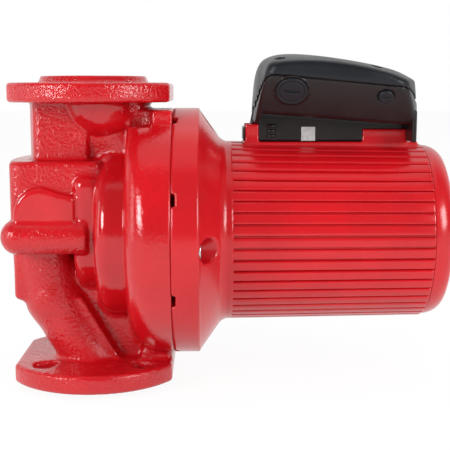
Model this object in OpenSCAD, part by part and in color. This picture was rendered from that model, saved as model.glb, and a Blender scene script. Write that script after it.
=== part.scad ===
// In-line wet-rotor circulator pump with flanged ports: a cast pump housing, a canned-rotor motor on
// a horizontal shaft and a terminal box on top of the motor.
// Origin: centre of the lower port's sealing face. +Z runs up the pipe line, +X runs from the pump
// housing along the motor shaft. Millimetres.

/* [Ports and flanges] */
// Distance between the two sealing faces
port_to_port = 280; // [276:1:290]
// Bore of both ports
port_bore = 50; // [44:1:54]
// Length of the straight bore behind each sealing face
port_depth = 30; // [26:1:34]
// Outer diameter of the flanges
flange_d = 165; // [160:1:172]
// Width across the two flats of each flange
flange_flats = 142; // [138:1:156]
// Thickness of the flange plates without the raised face
flange_t = 17; // [15:0.5:19]
// Chamfer along the flange edges
flange_chamfer = 3; // [1:0.5:4]
// Height of the raised sealing face
raised_h = 6; // [3:0.5:7]
// Diameter of the raised sealing face
raised_d = 95; // [88:1:99]
// Bolt circle of the large holes
bolt_circle = 125; // [122:1:130]
// Diameter of the lower flange's large holes
bolt_hole_d = 19; // [18.5:0.5:20]
// Diameter of the upper flange's large holes
upper_hole_d = 18; // [17:0.5:18]
// Bolt circle of the small inner lobes
lobe_circle = 110; // [107:1:114]
// Diameter of the small inner lobes
lobe_hole_d = 13; // [11:0.5:13.5]

/* [Housing casting] */
// Height of the motor axis above the lower sealing face
axis_z = 139; // [135:0.5:143]
// Position of the joint face between pump housing and motor
joint_x = 73; // [71:0.5:78]
// Radius of the drum around the impeller
drum_r = 112; // [108:0.5:116]
// Axial length of the drum
drum_len = 40; // [38:0.5:43]
// Radius of the drum's rounded shoulder
drum_shoulder = 19; // [10:1:22]
// Radius of the ring next to the drum
ring_r = 77.5; // [70:0.5:84]
// Axial length of the ring next to the drum
ring_len = 28; // [24:1:32]
// Radius of the suction nose next to the ring
nose_r = 53; // [48:0.5:58]
// Axial length of the suction nose
nose_len = 21; // [16:1:26]
// Half width of the suction nose across the shaft
nose_half_w = 57; // [53:0.5:62]
// Height of the nose's shoulder above the motor axis
nose_top = 56; // [50:1:62]
// Rounding of the edges of ring and nose
casting_round = 9; // [4:1:12]
// Left end of the suction chamber block, from the pipe axis
chamber_x = -77.5; // [-82:0.5:-75]
// Setback of the block's left corners from its left end
chamber_setback = 9; // [6:0.5:12]
// Half width of the suction chamber block
chamber_half_w = 50; // [46:0.5:55]
// Height of the chamber block's top above the motor axis
chamber_top = 67; // [60:1:74]
// Left end of the discharge column, from the pipe axis
column_x = -58.5; // [-62:0.5:-54]
// Setback of the column's left corners from its left end
column_setback = 8.5; // [6:0.5:12]
// Wall of the chamber and the column
casting_wall = 9; // [7:0.5:11]
// Half width of the discharge column
column_half_w = 30; // [28:0.5:31]
// Position of the discharge column's right edge
column_edge_x = -3; // [-8:1:4]
// Half width of the wall between column and drum
wall_half_w = 22; // [20:1:26]
// Half width of the saddle that joins the drum's top to the casting
pad_half_w = 52; // [40:1:56]
// Radius of the half-round belt around the chamber
belt_r = 15.5; // [12:0.5:18]
// Distance of the belt's centre line in front of and behind the pipe axis
belt_half_w = 48; // [44:0.5:52]
// Corner radius of the dome over the suction turn
dome_r = 21; // [16:0.5:24]
// Half width of the dome
dome_half_w = 57; // [52:0.5:60]
// Radius of the suction leg
leg_r = 26; // [25:0.5:29]
// Bore of the suction leg
leg_bore = 42; // [36:1:44]
// Distance by which the suction leg swings out from the pipe axis
leg_offset = 46; // [42:1:50]
// Half width of the web between the leg and the drum
web_half_w = 16; // [10:1:20]
// Bore of the suction eye
eye_bore = 54; // [48:1:56]
// Casting between the volute cavity and the drum's outside
volute_cover = 28; // [26:0.5:32]
// Wall between the suction side and the volute cavity
volute_wall = 6; // [5:0.5:7]
// Bore of the duct from the volute to the discharge port
duct_bore = 40; // [32:1:44]

/* [Motor housing] */
// Step from the drum out to the bolting rim
rim_step = 0.5; // [0:0.25:3]
// Thickness of the bolting rim
rim_t = 23; // [20:0.5:26]
// Axial length of the cone behind the rim
cone_len = 20; // [16:0.5:26]
// Radius of the ribbed body at the cone
body_r = 82.3; // [80:0.1:86]
// Length of the smooth neck between cone and ribs
neck_len = 9.7; // [7:0.1:13]
// Length of the ribbed part behind the stator stack
rib_overhang = 42.7; // [38:0.1:50]
// Loss of radius along the ribs, for the casting draft
rib_draft = 2.5; // [1:0.1:3.5]
// Number of cooling ribs
rib_count = 50; // [40:2:60]
// Width of the groove between two ribs
groove_w = 2.4; // [1.5:0.1:3.5]
// Depth of the grooves
groove_depth = 3; // [1.5:0.1:4]
// Length of the domed end
end_len = 33; // [29:0.5:36]
// Corner radius of the domed end
end_corner = 18; // [12:0.5:22]
// Bore for the stator
stator_bore = 142; // [138:0.5:146]
// Half width of the flat seat under the terminal box
saddle_half_w = 18; // [17:0.5:20]
// Distance of the motor screws from the rim's edge
screw_inset = 13.5; // [12:0.5:15]
// Turn of the motor screws and drain slots about the shaft, in degrees
screw_turn = 1.8; // [0:0.1:4]
// Diameter of the screw pockets in the cone
pocket_d = 21; // [19:0.5:22]
// Number of drain slots at the joint
slot_count = 8; // [4:4:8]
// Width of a drain slot around the rim
slot_w = 11; // [7:0.5:14]
// Axial length of a drain slot
slot_len = 4; // [3:0.5:6]
// Length of the register that enters the pump housing
register_len = 3.5; // [3:0.25:4.5]
// Clearance of parts that are dropped in by hand
drop_gap = 0.2; // [0.1:0.05:0.4]

/* [Wet end] */
// Diameter of the shaft
shaft_d = 20; // [18:0.5:22]
// Radial clearance between shaft and bearings
bearing_gap = 0.03; // [0.02:0.01:0.06]
// Outer diameter of the bearing bushes
bearing_d = 36; // [34:0.5:40]
// Length of the front bearing
front_bearing_len = 18; // [14:1:22]
// Length of the rear bearing
rear_bearing_len = 14; // [10:1:16]
// Axial play of the thrust ring
thrust_play = 0.5; // [0.3:0.1:1]
// Thickness of the thrust ring
thrust_t = 6; // [4:0.5:8]
// Outer diameter of the impeller
impeller_d = 136; // [120:1:144]
// Thickness of an impeller shroud
shroud_t = 3; // [2:0.5:4]
// Passage width between the impeller shrouds
passage_w = 11; // [9:0.5:12]
// Number of impeller vanes
vane_count = 6; // [4:1:8]
// Thickness of a vane
vane_t = 3; // [2:0.5:4]
// Wall of the impeller's eye collar
collar_t = 4; // [3:0.5:5]
// Gap between the impeller and the cavity wall
impeller_gap = 2; // [1.5:0.25:3]
// Radial gap between eye collar and neck ring
neck_gap = 0.4; // [0.3:0.05:0.8]
// Wall of the neck ring
neck_ring_t = 2.6; // [2:0.1:4]
// Thickness of the housing gasket
gasket_t = 2; // [1:0.25:2.5]
// Thickness of the bearing plate
plate_t = 3; // [2:0.5:4]
// Wall of the bearing plate's hub
hub_t = 6; // [4:0.5:8]
// Wall of the rotor can
can_t = 1; // [0.6:0.1:1.4]
// Thickness of the can's seal
can_seal_t = 2; // [1.5:0.25:2.5]
// Diameter of the rotor core
rotor_d = 80; // [76:0.5:80.5]
// Radial gap between rotor core and can
rotor_gap = 0.7; // [0.4:0.1:1]
// Length of the stator and rotor stacks
stack_len = 110; // [100:1:116]
// Distance from the joint face to the stator stack
stack_start = 72; // [68:1:78]
// Radial gap between can and stator
stator_gap = 0.4; // [0.2:0.1:0.8]
// Length of a winding head
winding_len = 22; // [18:1:24]
// Length of a rotor end ring
end_ring_len = 8; // [6:1:12]

/* [Motor screws] */
// Thread diameter of the motor screws
screw_d = 10; // [8:0.5:10]
// Head diameter of the motor screws
screw_head_d = 16; // [14:0.5:17]
// Head height of the motor screws
screw_head_h = 10; // [8:0.5:10]
// Length of the motor screws under the head
screw_len = 38; // [34:1:42]

/* [Terminal box] */
// Position of the box's left end behind the joint face
box_start = 69; // [67:0.5:73]
// Length of the box behind the stator stack
box_overhang = 38; // [36:0.5:41]
// Bulge of the box's two ends
box_bulge = 4; // [3:0.5:7]
// Fall of the tub and lid towards the motor's end, in degrees
box_tilt = 4.4; // [3.5:0.1:5]
// Half width of the box at the seam
box_half_w = 65; // [60:0.5:70]
// Half width of the box's lower edge
box_low_half_w = 40; // [38:0.5:44]
// Half width of the skirt under the box
skirt_half_w = 17; // [16.5:0.25:17.5]
// Length by which the skirt starts before the box
skirt_lead = 6.5; // [4:0.5:8]
// Height of the skirt above the motor's saddle
skirt_h = 26.5; // [25:0.5:28]
// Height of the seam above the saddle at the left end
seam_h = 60.5; // [59:0.5:62]
// Fall of the seam against the tub's lower edge, per millimetre
seam_fall = 0.013; // [0.005:0.001:0.03]
// Height of the lid's crown above the saddle
crown_h = 83; // [81:0.5:85]
// Distance of the crown from the box's left end
crown_at = 58.5; // [50:0.5:62]
// Radius of the lid's arch along the motor
arch_r = 220; // [200:5:260]
// Radius of the lid's arch across the motor
cross_r = 260; // [240:5:400]
// Height over which the tub flares out
flare_rise = 33; // [30:0.5:33.5]
// Wall of box and lid
box_wall = 3; // [2:0.25:4]
// Vertical corner radius of the box
box_corner = 14; // [10:0.5:18]
// Gap at the seam
seam_gap = 0.3; // [0.2:0.05:0.6]
// Diameter of the large blanking plug
plug_d = 28; // [24:0.5:30]
// Distance of the large plug from the box's left end
plug_at = 30; // [26:0.5:34]
// Distance of the small plug from the box's right end
small_plug_inset = 40; // [36:0.5:46]
// Diameter of the small blanking plug
small_plug_d = 15; // [12:0.5:17]
// Height of the short posts that hold the box on the motor
post_h = 16; // [12:0.5:17]
// Height of the long posts at the other end of the box
right_post_h = 11.5; // [8:0.5:12.5]
// Diameter of the lid screws' heads
lid_screw_head_d = 8; // [7:0.5:9]

/* [Hidden] */
$fn = 96;
eps = 0.01;
cut = 1; // length by which a cutter stands proud of what it cuts

paint_red = [0.78, 0.06, 0.09];
steel = [0.72, 0.73, 0.75];
black_plastic = [0.13, 0.13, 0.15];

volute_r = drum_r - volute_cover;
rim_r = drum_r + rim_step;
screw_circle_r = rim_r - screw_inset;

// stations along the motor axis
stack_x = joint_x + stack_start;
stack_end_x = stack_x + stack_len;
drum_x = joint_x - drum_len;
ring_x = drum_x - ring_len;
nose_x = ring_x - nose_len;
cavity_x = drum_x + volute_wall;
rim_x = joint_x + rim_t;
neck_x = rim_x + cone_len;
rib_x = neck_x + neck_len;
rib_end_x = stack_end_x + rib_overhang;
rib_len = rib_end_x - rib_x;
end_x = rib_end_x + end_len;
rib_end_r = body_r - rib_draft;
saddle_end_x = rib_end_x - 4;
cap_step = 1.2; // step from the rib tops down to the smooth end
saddle_z = axis_z + body_r;

// clamped stack between pump housing and motor housing, measured back from the register
register_x = joint_x - register_len;
can_flange_t = 1.5;
can_seal_x = register_x - can_seal_t;
can_flange_x = can_seal_x - can_flange_t;
plate_x = can_flange_x - plate_t;
gasket_x = plate_x - gasket_t;
seat_r = volute_r + 6;
stack_r = seat_r - drop_gap;

// rotating parts
shaft_r = shaft_d / 2;
impeller_r = impeller_d / 2;
eye_r = eye_bore / 2;
front_shroud_x = cavity_x + impeller_gap;
back_shroud_x = front_shroud_x + shroud_t + passage_w;
impeller_end_x = back_shroud_x + shroud_t;
collar_r = eye_r + collar_t;
neck_ring_r = collar_r + neck_gap + neck_ring_t;
neck_ring_len = 8;
cone_wall = 3;
hub_r = shaft_r + cone_wall + 4;
hub_len = 16;
hub_x = impeller_end_x - hub_len;
nut_h = 8;
nut_x = hub_x - nut_h;
shaft_x = nut_x - 2;
front_bearing_x = plate_x;
thrust_x = front_bearing_x + front_bearing_len + thrust_play;
bearing_r = bearing_d / 2;
can_r = rotor_d / 2 + rotor_gap;
can_out_r = can_r + can_t;
rear_bearing_x = stack_end_x + end_ring_len + 6;
can_end_x = rear_bearing_x;
shaft_end_x = rear_bearing_x + rear_bearing_len - 1;
can_nose_x = rear_bearing_x + rear_bearing_len + 2;

// terminal box
label_w = 12.5;
label_t = 0.3;
box_x = joint_x + box_start;
box_end_x = stack_end_x + box_overhang;
box_len = box_end_x - box_x;
small_plug_at = box_len - small_plug_inset;
skirt_x = box_x - skirt_lead;
box_low_z = saddle_z + skirt_h;
lead_x = stack_end_x + winding_len / 2;
lead_hole_r = 6.5;
grommet_wall = 2;
floor_t = 3;
lid_post_r = 5;
lid_screw_inset_x = 24;
lid_screw_inset_y = 16;

function seam_z(x) = saddle_z + seam_h - seam_fall * (x - box_x);
function arch_z(x) = saddle_z + crown_h - arch_r
    + sqrt(arch_r * arch_r - pow(x - box_x - crown_at, 2));

// ---- helpers ----

// places a child that is drawn along Z along the motor axis instead
module on_shaft(x) {
    translate([x, 0, axis_z]) rotate([0, 90, 0]) children();
}

// ring around the motor axis
module shaft_ring(x, len, r_out, r_in) {
    on_shaft(x) difference() {
        cylinder(r = r_out, h = len);
        translate([0, 0, -cut]) cylinder(r = r_in, h = len + 2 * cut);
    }
}

// disc on the motor axis whose left edge is rounded
module rounded_disc(x, len, r, round) {
    on_shaft(x) rotate_extrude() polygon(concat(
        [[0, 0]],
        [for (a = [0:15:90]) [r - round + round * sin(a), round - round * cos(a)]],
        [[r, len], [0, len]]));
}

// upright block whose vertical edges are rounded
module rounded_block(x0, x1, half_w, z0, z1, round) {
    translate([0, 0, z0]) linear_extrude(z1 - z0) rounded_rect(x0, x1, -half_w, half_w, round);
}

module rounded_rect(x0, x1, y0, y1, round) {
    translate([x0 + round, y0]) square([x1 - x0 - 2 * round, y1 - y0]);
    translate([x0, y0 + round]) square([x1 - x0, y1 - y0 - 2 * round]);
    for (x = [x0 + round, x1 - round], y = [y0 + round, y1 - round]) translate([x, y]) circle(r = round);
}

// upright block with a blunt wedge on its left side
module wedge_block(x0, setback, x1, half_w, z0, z1) {
    translate([0, 0, z0]) linear_extrude(z1 - z0) polygon([[x0, -half_w / 4], [x0 + setback, -half_w],
        [x1, -half_w], [x1, half_w], [x0 + setback, half_w], [x0, half_w / 4]]);
}

// round bar between two points
module bar(a, b, r) {
    v = b - a;
    translate(a) rotate([0, acos(v[2] / norm(v)), atan2(v[1], v[0])]) cylinder(r = r, h = norm(v));
}

// outline in the X-Z plane, extruded across the pump
module across(half_w) {
    translate([0, half_w, 0]) rotate([90, 0, 0]) linear_extrude(2 * half_w) children();
}

// outline in the Y-Z plane, extruded along the pump
module along(x0, x1) {
    translate([x0, 0, 0]) rotate([90, 0, 90]) linear_extrude(x1 - x0) children();
}

// ---- pump housing ----

module flange_plate(hole_d) {
    c = flange_chamfer;
    r = flange_d / 2;
    difference() {
        union() {
            intersection() {
                rotate_extrude() polygon([[0, raised_h], [r - c, raised_h], [r, raised_h + c],
                    [r, raised_h + flange_t - c], [r - c, raised_h + flange_t],
                    [0, raised_h + flange_t]]);
                translate([-flange_flats / 2, -r, 0])
                    cube([flange_flats, 2 * r, raised_h + flange_t]);
            }
            rotate_extrude() polygon([[0, 0], [raised_d / 2, 0],
                [raised_d / 2 + raised_h / 3, raised_h + eps], [0, raised_h + eps]]);
        }
        for (a = [45:90:315]) rotate(a) {
            translate([bolt_circle / 2, 0, raised_h - cut])
                cylinder(d = hole_d, h = flange_t + 2 * cut);
            translate([lobe_circle / 2, 0, raised_h - cut])
                cylinder(d = lobe_hole_d, h = flange_t + 2 * cut);
        }
    }
}

module port_flanges() {
    flange_plate(bolt_hole_d);
    translate([0, 0, port_to_port]) mirror([0, 0, 1]) flange_plate(upper_hole_d);
}

nut_room_r = 13; // radius of the room for a nut behind each bolt hole
nut_room_h = 21; // height of that room

// room for the nuts behind the two flanges
module nut_rooms() {
    for (z = [raised_h + flange_t, port_to_port - raised_h - flange_t - nut_room_h], a = [45:90:315])
        rotate(a) translate([bolt_circle / 2, 0, z]) cylinder(r = nut_room_r, h = nut_room_h);
}

chamber_drop = 14; // depth of the chamber block below the motor axis
rib_drop = 62; // depth of the rib beside the leg below the motor axis
leg_foot = [-4, 0, raised_h + flange_t - 4];
leg_knee = [-leg_offset + 8, 0, axis_z - 62];
leg_top = [-leg_offset, 0, axis_z - 18];

module suction_leg() {
    for (y = [-10, 10]) {
        bar(leg_foot + [0, y, 0], leg_knee + [0, y, 0], leg_r);
        translate(leg_knee + [0, y, 0]) sphere(r = leg_r);
        bar(leg_knee + [0, y, 0], leg_top + [0, y, 0], leg_r);
    }
    // foot that spreads onto the lower flange
    translate([leg_foot[0], 0, raised_h + flange_t - eps])
        cylinder(r1 = leg_r + 9, r2 = leg_r, h = 8);
}

module web_plate() {
    across(web_half_w) polygon([[-30, axis_z - 45], [40, axis_z - 45],
        [joint_x - 25, raised_h + flange_t - 1], [leg_foot[0], raised_h + flange_t - 1]]);
    rounded_block(joint_x - 31, joint_x - 3, 30, raised_h + flange_t - 1, axis_z - drum_r + 6, 4);
}

module suction_chamber() {
    z0 = axis_z - chamber_drop;
    z1 = axis_z + chamber_top;
    wedge_block(chamber_x, chamber_setback, ring_x + 6, chamber_half_w, z0, z1);
    // rib that runs down beside the leg
    wedge_block(chamber_x + 3, 4, -leg_offset, leg_r, axis_z - rib_drop, z0 + eps);
    // half-round belt
    belt_x = chamber_x + chamber_setback + 6;
    for (y = [-belt_half_w, belt_half_w]) {
        bar([belt_x, y, axis_z + 1], [column_edge_x, y, axis_z + 1], belt_r);
        translate([belt_x, y, axis_z + 1]) sphere(r = belt_r);
    }
    bar([belt_x, -belt_half_w, axis_z + 1], [belt_x, belt_half_w, axis_z + 1], belt_r);
    // dome over the turn into the eye
    dome_x = belt_x + dome_r - 2;
    dome_z = axis_z + 23;
    across(dome_half_w) {
        translate([dome_x, dome_z]) circle(r = dome_r);
        polygon([[dome_x - dome_r, axis_z], [dome_x - dome_r, dome_z], [dome_x, dome_z + dome_r],
            [nose_x + 2, dome_z + dome_r - 7], [nose_x + 2, axis_z]]);
    }
}

module suction_nose() {
    rounded_disc(nose_x, joint_x - nose_x - 20, nose_r, casting_round);
    along(nose_x + 3, ring_x + 6) rounded_rect(-nose_half_w, nose_half_w, axis_z, axis_z + nose_top, 16);
    rounded_disc(ring_x, joint_x - ring_x - 20, ring_r, casting_round);
}

wall_top = 96; // height of the wall's top above the motor axis
duct_wall = 9;
duct_foot = [joint_x - 34, 0, axis_z + volute_r - 12];
duct_head = [4, 0, port_to_port - port_depth - 6];
bulb_r = 40; // radius of the bulb where the duct turns up into the port
bulb_x = 12;
bulb_half_w = 8;
bulb_rise = 4;
pad_len = 37;

module discharge_column() {
    top = port_to_port - raised_h - flange_t + 1;
    wedge_block(column_x, column_setback, column_edge_x, column_half_w, axis_z + 40, top);
    // wall and duct shell between the column and the drum
    rounded_block(column_edge_x - 12, joint_x - 24, wall_half_w, axis_z + 40, axis_z + wall_top, 4);
    bar(duct_foot, duct_head, duct_bore / 2 + duct_wall);
    intersection() {
        union() {
            for (y = [-bulb_half_w, bulb_half_w]) translate([bulb_x, y, top + bulb_rise]) sphere(r = bulb_r);
            bar([bulb_x, -bulb_half_w, top + bulb_rise], [bulb_x, bulb_half_w, top + bulb_rise], bulb_r);
        }
        translate([bulb_x - bulb_r, -flange_d / 2, top - bulb_r]) cube([2 * bulb_r, flange_d, bulb_r]);
    }
    // pad over the drum
    rounded_block(joint_x - pad_len, joint_x, pad_half_w, axis_z + 60, axis_z + drum_r - 0.5, 3);
}

module casting_body() {
    port_flanges();
    suction_leg();
    web_plate();
    suction_chamber();
    suction_nose();
    discharge_column();
    rounded_disc(drum_x, drum_len, drum_r, drum_shoulder);
}

module flow_passages() {
    // suction: port, leg, chamber and eye
    translate([0, 0, -cut]) cylinder(d = port_bore, h = port_depth + cut);
    bar([0, 0, port_depth - 6], leg_knee, leg_bore / 2);
    translate(leg_knee) sphere(d = leg_bore + 1);
    bar(leg_knee, [-leg_offset, 0, axis_z], leg_bore / 2);
    translate([-leg_offset, 0, axis_z]) sphere(r = eye_r);
    bar([-leg_offset, 0, axis_z], [cavity_x + cut, 0, axis_z], eye_r);
    wedge_block(chamber_x + casting_wall, chamber_setback, nose_x + 2, chamber_half_w - casting_wall,
        axis_z - chamber_drop + casting_wall, axis_z + chamber_top - casting_wall);
    // neck ring seat and room for the impeller's collar
    on_shaft(cavity_x - neck_ring_len - 4) cylinder(r = neck_ring_r, h = neck_ring_len + 4 + cut);
    // volute cavity and the seat of the clamped stack
    on_shaft(cavity_x) cylinder(r = volute_r, h = joint_x - cavity_x + cut);
    on_shaft(gasket_x) cylinder(r = seat_r, h = joint_x - gasket_x + cut);
    // discharge: duct and port
    bar(duct_foot, duct_head, duct_bore / 2);
    translate([0, 0, port_to_port - port_depth]) cylinder(d = port_bore, h = port_depth + cut);
    wedge_block(column_x + casting_wall, column_setback, column_edge_x - casting_wall,
        column_half_w - casting_wall, axis_z + chamber_top + casting_wall, port_to_port - port_depth + 3);
}

module pump_housing() {
    color(paint_red) difference() {
        casting_body();
        flow_passages();
        nut_rooms();
        // nothing of the casting passes the joint face
        translate([joint_x, -150, 0]) cube([60, 300, port_to_port - raised_h - flange_t - 2]);
        for (a = [0:90:270]) on_shaft(joint_x) rotate(a + screw_turn) translate([screw_circle_r, 0, -screw_reach])
            cylinder(d = screw_d, h = screw_reach + cut);
    }
}

// ---- motor housing ----

function end_dome() =
    let (r = rib_end_r - cap_step, face_r = r - end_corner * 0.6, sag = end_len - end_corner,
        big_r = (face_r * face_r + sag * sag) / (2 * sag))
    concat(
        [for (a = [0:15:75]) [face_r + (r - face_r) * cos(a), rib_end_x + end_corner * sin(a)]],
        [for (k = [4:-1:1]) let (q = face_r * k / 4)
            [q, end_x - big_r + sqrt(big_r * big_r - q * q)]],
        [[0, end_x]]);

module motor_outside() {
    on_shaft(0) rotate_extrude() polygon(concat(
        [[0, joint_x], [rim_r, joint_x], [rim_r, rim_x - 1], [rim_r - 1, rim_x],
         [body_r + 1, neck_x], [body_r, neck_x + 1], [body_r, rib_x], [rib_end_r, rib_end_x]],
        end_dome()));
    // seat under the terminal box
    translate([skirt_x, -saddle_half_w, axis_z + 40])
        cube([saddle_end_x - skirt_x, 2 * saddle_half_w, saddle_z - axis_z - 40]);
    on_shaft(register_x) cylinder(r = stack_r, h = register_len + 1);
    box_posts();
}

post_y = 12; // distance of the posts from the centre plane
left_post_len = 12;
right_post_len = 40;
function box_post_sizes() =
    [[skirt_x + 2, left_post_len, post_h], [box_end_x - 49.5, right_post_len, right_post_h]];

module box_posts() {
    for (s = [-1, 1], post = box_post_sizes())
        translate([post[0], s > 0 ? post_y : -skirt_half_w - label_t, saddle_z - cut])
            cube([post[1], skirt_half_w + label_t - post_y, post[2] + cut]);
}

module cooling_grooves() {
    for (k = [0:rib_count - 1]) on_shaft(0) rotate(k * 360 / rib_count)
        translate([body_r - groove_depth, -groove_w / 2, rib_x])
            rotate([0, -atan(rib_draft / rib_len), 0])
                translate([0, 0, 2]) cube([30, groove_w, rib_len + 20]);
}

pocket_floor_x = rim_x - 8;
screw_reach = screw_len - (pocket_floor_x - joint_x) + 4;
stator_cavity_end = rib_end_x + 3;
dome_wall = 10;

module motor_inside() {
    on_shaft(register_x - cut) cylinder(r = stator_bore / 2, h = stator_cavity_end - register_x + cut);
    on_shaft(stator_cavity_end - cut) cylinder(r = stator_bore / 2 - end_corner,
        h = end_x - dome_wall - stator_cavity_end + cut);
    for (k = [0:slot_count - 1]) on_shaft(joint_x) rotate((k + 0.5) * 360 / slot_count + screw_turn)
        translate([stack_r + 1, -slot_w / 2, -cut]) cube([rim_r, slot_w, slot_len + cut]);
    for (a = [0:90:270]) on_shaft(0) rotate(a + screw_turn) translate([screw_circle_r, 0, 0]) {
        translate([0, 0, pocket_floor_x]) cylinder(d = pocket_d, h = 60);
        translate([0, 0, joint_x - cut]) cylinder(d = screw_d + 1, h = rim_t);
    }
    translate([lead_x, 0, axis_z + stator_bore / 2 - 5]) cylinder(r = lead_hole_r, h = 40);
    on_shaft(end_x - plate_seat) cylinder(r = rating_plate_r + drop_gap, h = 10);
    for (p = box_screw_places()) translate([p[0], p[1], saddle_z - box_screw_depth])
        cylinder(d = box_screw_d, h = box_screw_depth + cut);
}

module motor_housing() {
    color(paint_red) difference() {
        motor_outside();
        difference() {
            cooling_grooves();
            // the smooth end and the flat seat keep their full section
            translate([rib_end_x, -flange_d, 0]) cube([end_len, 2 * flange_d, port_to_port]);
            translate([skirt_x, -saddle_half_w, axis_z])
                cube([saddle_end_x - skirt_x, 2 * saddle_half_w, flange_d]);
        }
        motor_inside();
    }
}

// ---- wet end ----

module neck_ring() {
    color(steel) shaft_ring(cavity_x - neck_ring_len, neck_ring_len, neck_ring_r,
        neck_ring_r - neck_ring_t);
}

module vane() {
    // backward-curved blade: a stretch of a ring between hub and rim
    curve_r = impeller_r * 0.62;
    intersection() {
        translate([0, curve_r * 0.86]) difference() {
            circle(r = curve_r + vane_t / 2);
            circle(r = curve_r - vane_t / 2);
        }
        difference() {
            circle(r = impeller_r - 0.5);
            circle(r = eye_r - 4);
        }
        translate([-eps, -impeller_r]) square([impeller_r + 1, 2 * impeller_r]);
    }
}

module impeller() {
    color(steel) {
        difference() {
            union() {
                shaft_ring(front_shroud_x, shroud_t, impeller_r, eye_r);
                shaft_ring(front_shroud_x - 10, 10 + eps, collar_r, eye_r);
                shaft_ring(back_shroud_x, shroud_t, impeller_r, shaft_r + cone_wall);
                shaft_ring(hub_x, hub_len, hub_r, shaft_r + cone_wall);
                for (k = [0:vane_count - 1]) on_shaft(front_shroud_x + shroud_t - 0.5)
                    rotate(k * 360 / vane_count) linear_extrude(passage_w + 1) vane();
            }
            for (k = [0:vane_count - 1]) on_shaft(back_shroud_x - cut) rotate(k * 360 / vane_count + 30)
                translate([hub_r + 4, 0, 0]) cylinder(d = 4, h = shroud_t + 2 * cut, $fn = 32);
        }
    }
}

module split_cone() {
    color(steel) difference() {
        shaft_ring(hub_x, hub_len, shaft_r + cone_wall, shaft_r);
        translate([hub_x - cut, -1, axis_z]) cube([hub_len + 2 * cut, 2, 20]);
    }
}

module impeller_nut() {
    color(steel) on_shaft(nut_x) difference() {
        cylinder(r = shaft_r + 5, h = nut_h, $fn = 6);
        translate([0, 0, -cut]) cylinder(r = shaft_r, h = nut_h + 2 * cut);
    }
}

module shaft() {
    color(steel) on_shaft(shaft_x) cylinder(r = shaft_r, h = shaft_end_x - shaft_x);
}

module rotor_core() {
    color([0.45, 0.46, 0.48]) shaft_ring(stack_x, stack_len, rotor_d / 2, shaft_r);
}

module rotor_end_rings() {
    color([0.8, 0.81, 0.83]) for (x = [stack_x - end_ring_len, stack_end_x])
        shaft_ring(x, end_ring_len, rotor_d / 2 - 3, rotor_d / 2 - 14);
}

module thrust_bearing() {
    color([0.2, 0.2, 0.21]) shaft_ring(thrust_x, thrust_t, bearing_r + 2, shaft_r);
}

module front_bearing() {
    color([0.9, 0.88, 0.82]) shaft_ring(front_bearing_x, front_bearing_len, bearing_r,
        shaft_r + bearing_gap);
}

module rear_bearing() {
    color([0.9, 0.88, 0.82]) shaft_ring(rear_bearing_x, rear_bearing_len, bearing_r,
        shaft_r + bearing_gap);
}

module bearing_plate() {
    color(steel) {
        shaft_ring(plate_x, plate_t, stack_r, bearing_r);
        shaft_ring(plate_x, front_bearing_len, bearing_r + hub_t, bearing_r);
    }
}

module rotor_can() {
    color(steel) on_shaft(0) difference() {
        union() {
            translate([0, 0, can_flange_x]) cylinder(r = stack_r, h = can_flange_t);
            translate([0, 0, can_flange_x]) cylinder(r = can_out_r, h = can_end_x - can_flange_x);
            translate([0, 0, can_end_x - cut]) cylinder(r = bearing_r + can_t,
                h = can_nose_x + can_t - can_end_x + cut);
        }
        translate([0, 0, can_flange_x - cut]) cylinder(r = can_r, h = can_end_x - can_flange_x);
        translate([0, 0, can_end_x - 2 * cut]) cylinder(r = bearing_r, h = can_nose_x - can_end_x + 2 * cut);
    }
}

module housing_gasket() {
    color([0.1, 0.1, 0.1]) shaft_ring(gasket_x, gasket_t, stack_r, volute_r + drop_gap);
}

module can_seal() {
    color([0.1, 0.1, 0.1]) shaft_ring(can_seal_x, can_seal_t, stack_r, stack_r - 5);
}

module stator_core() {
    color([0.5, 0.51, 0.53]) difference() {
        shaft_ring(stack_x, stack_len, stator_bore / 2, can_out_r + stator_gap);
        for (k = [0:23]) on_shaft(stack_x - cut) rotate(k * 15) translate([can_out_r + 4, -1.5, 0])
            cube([12, 3, stack_len + 2 * cut]);
    }
}

module stator_windings() {
    color([0.72, 0.38, 0.16]) for (x = [stack_x - winding_len, stack_end_x])
        shaft_ring(x, winding_len, stator_bore / 2 - 3, can_out_r + 4);
}

module housing_screws() {
    color(steel) for (a = [0:90:270]) on_shaft(pocket_floor_x) rotate(a + screw_turn)
        translate([screw_circle_r, 0, 0]) {
            difference() {
                cylinder(d = screw_head_d, h = screw_head_h);
                translate([0, 0, screw_head_h / 2]) cylinder(d = screw_head_d * 0.55, h = 20, $fn = 6);
            }
            translate([0, 0, -screw_len]) cylinder(d = screw_d, h = screw_len + eps);
        }
}

module rating_plate() {
    color([0.82, 0.83, 0.85]) on_shaft(end_x - plate_seat) cylinder(r = rating_plate_r, h = 0.8);
}

rating_plate_r = 26;
plate_seat = 2.6;

// ---- terminal box ----

box_screw_d = 5;
box_screw_depth = 8;
box_screw_y = 7.5;
function box_screw_places() =
    [for (x = [box_x + 18, box_x + 90], y = [-box_screw_y, box_screw_y]) [x, y]];

// frame of the tub and lid, which fall slightly towards the motor's end
module tilted() {
    translate([box_x, 0, saddle_z]) rotate([0, box_tilt, 0]) translate([-box_x, 0, -saddle_z])
        children();
}

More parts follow.
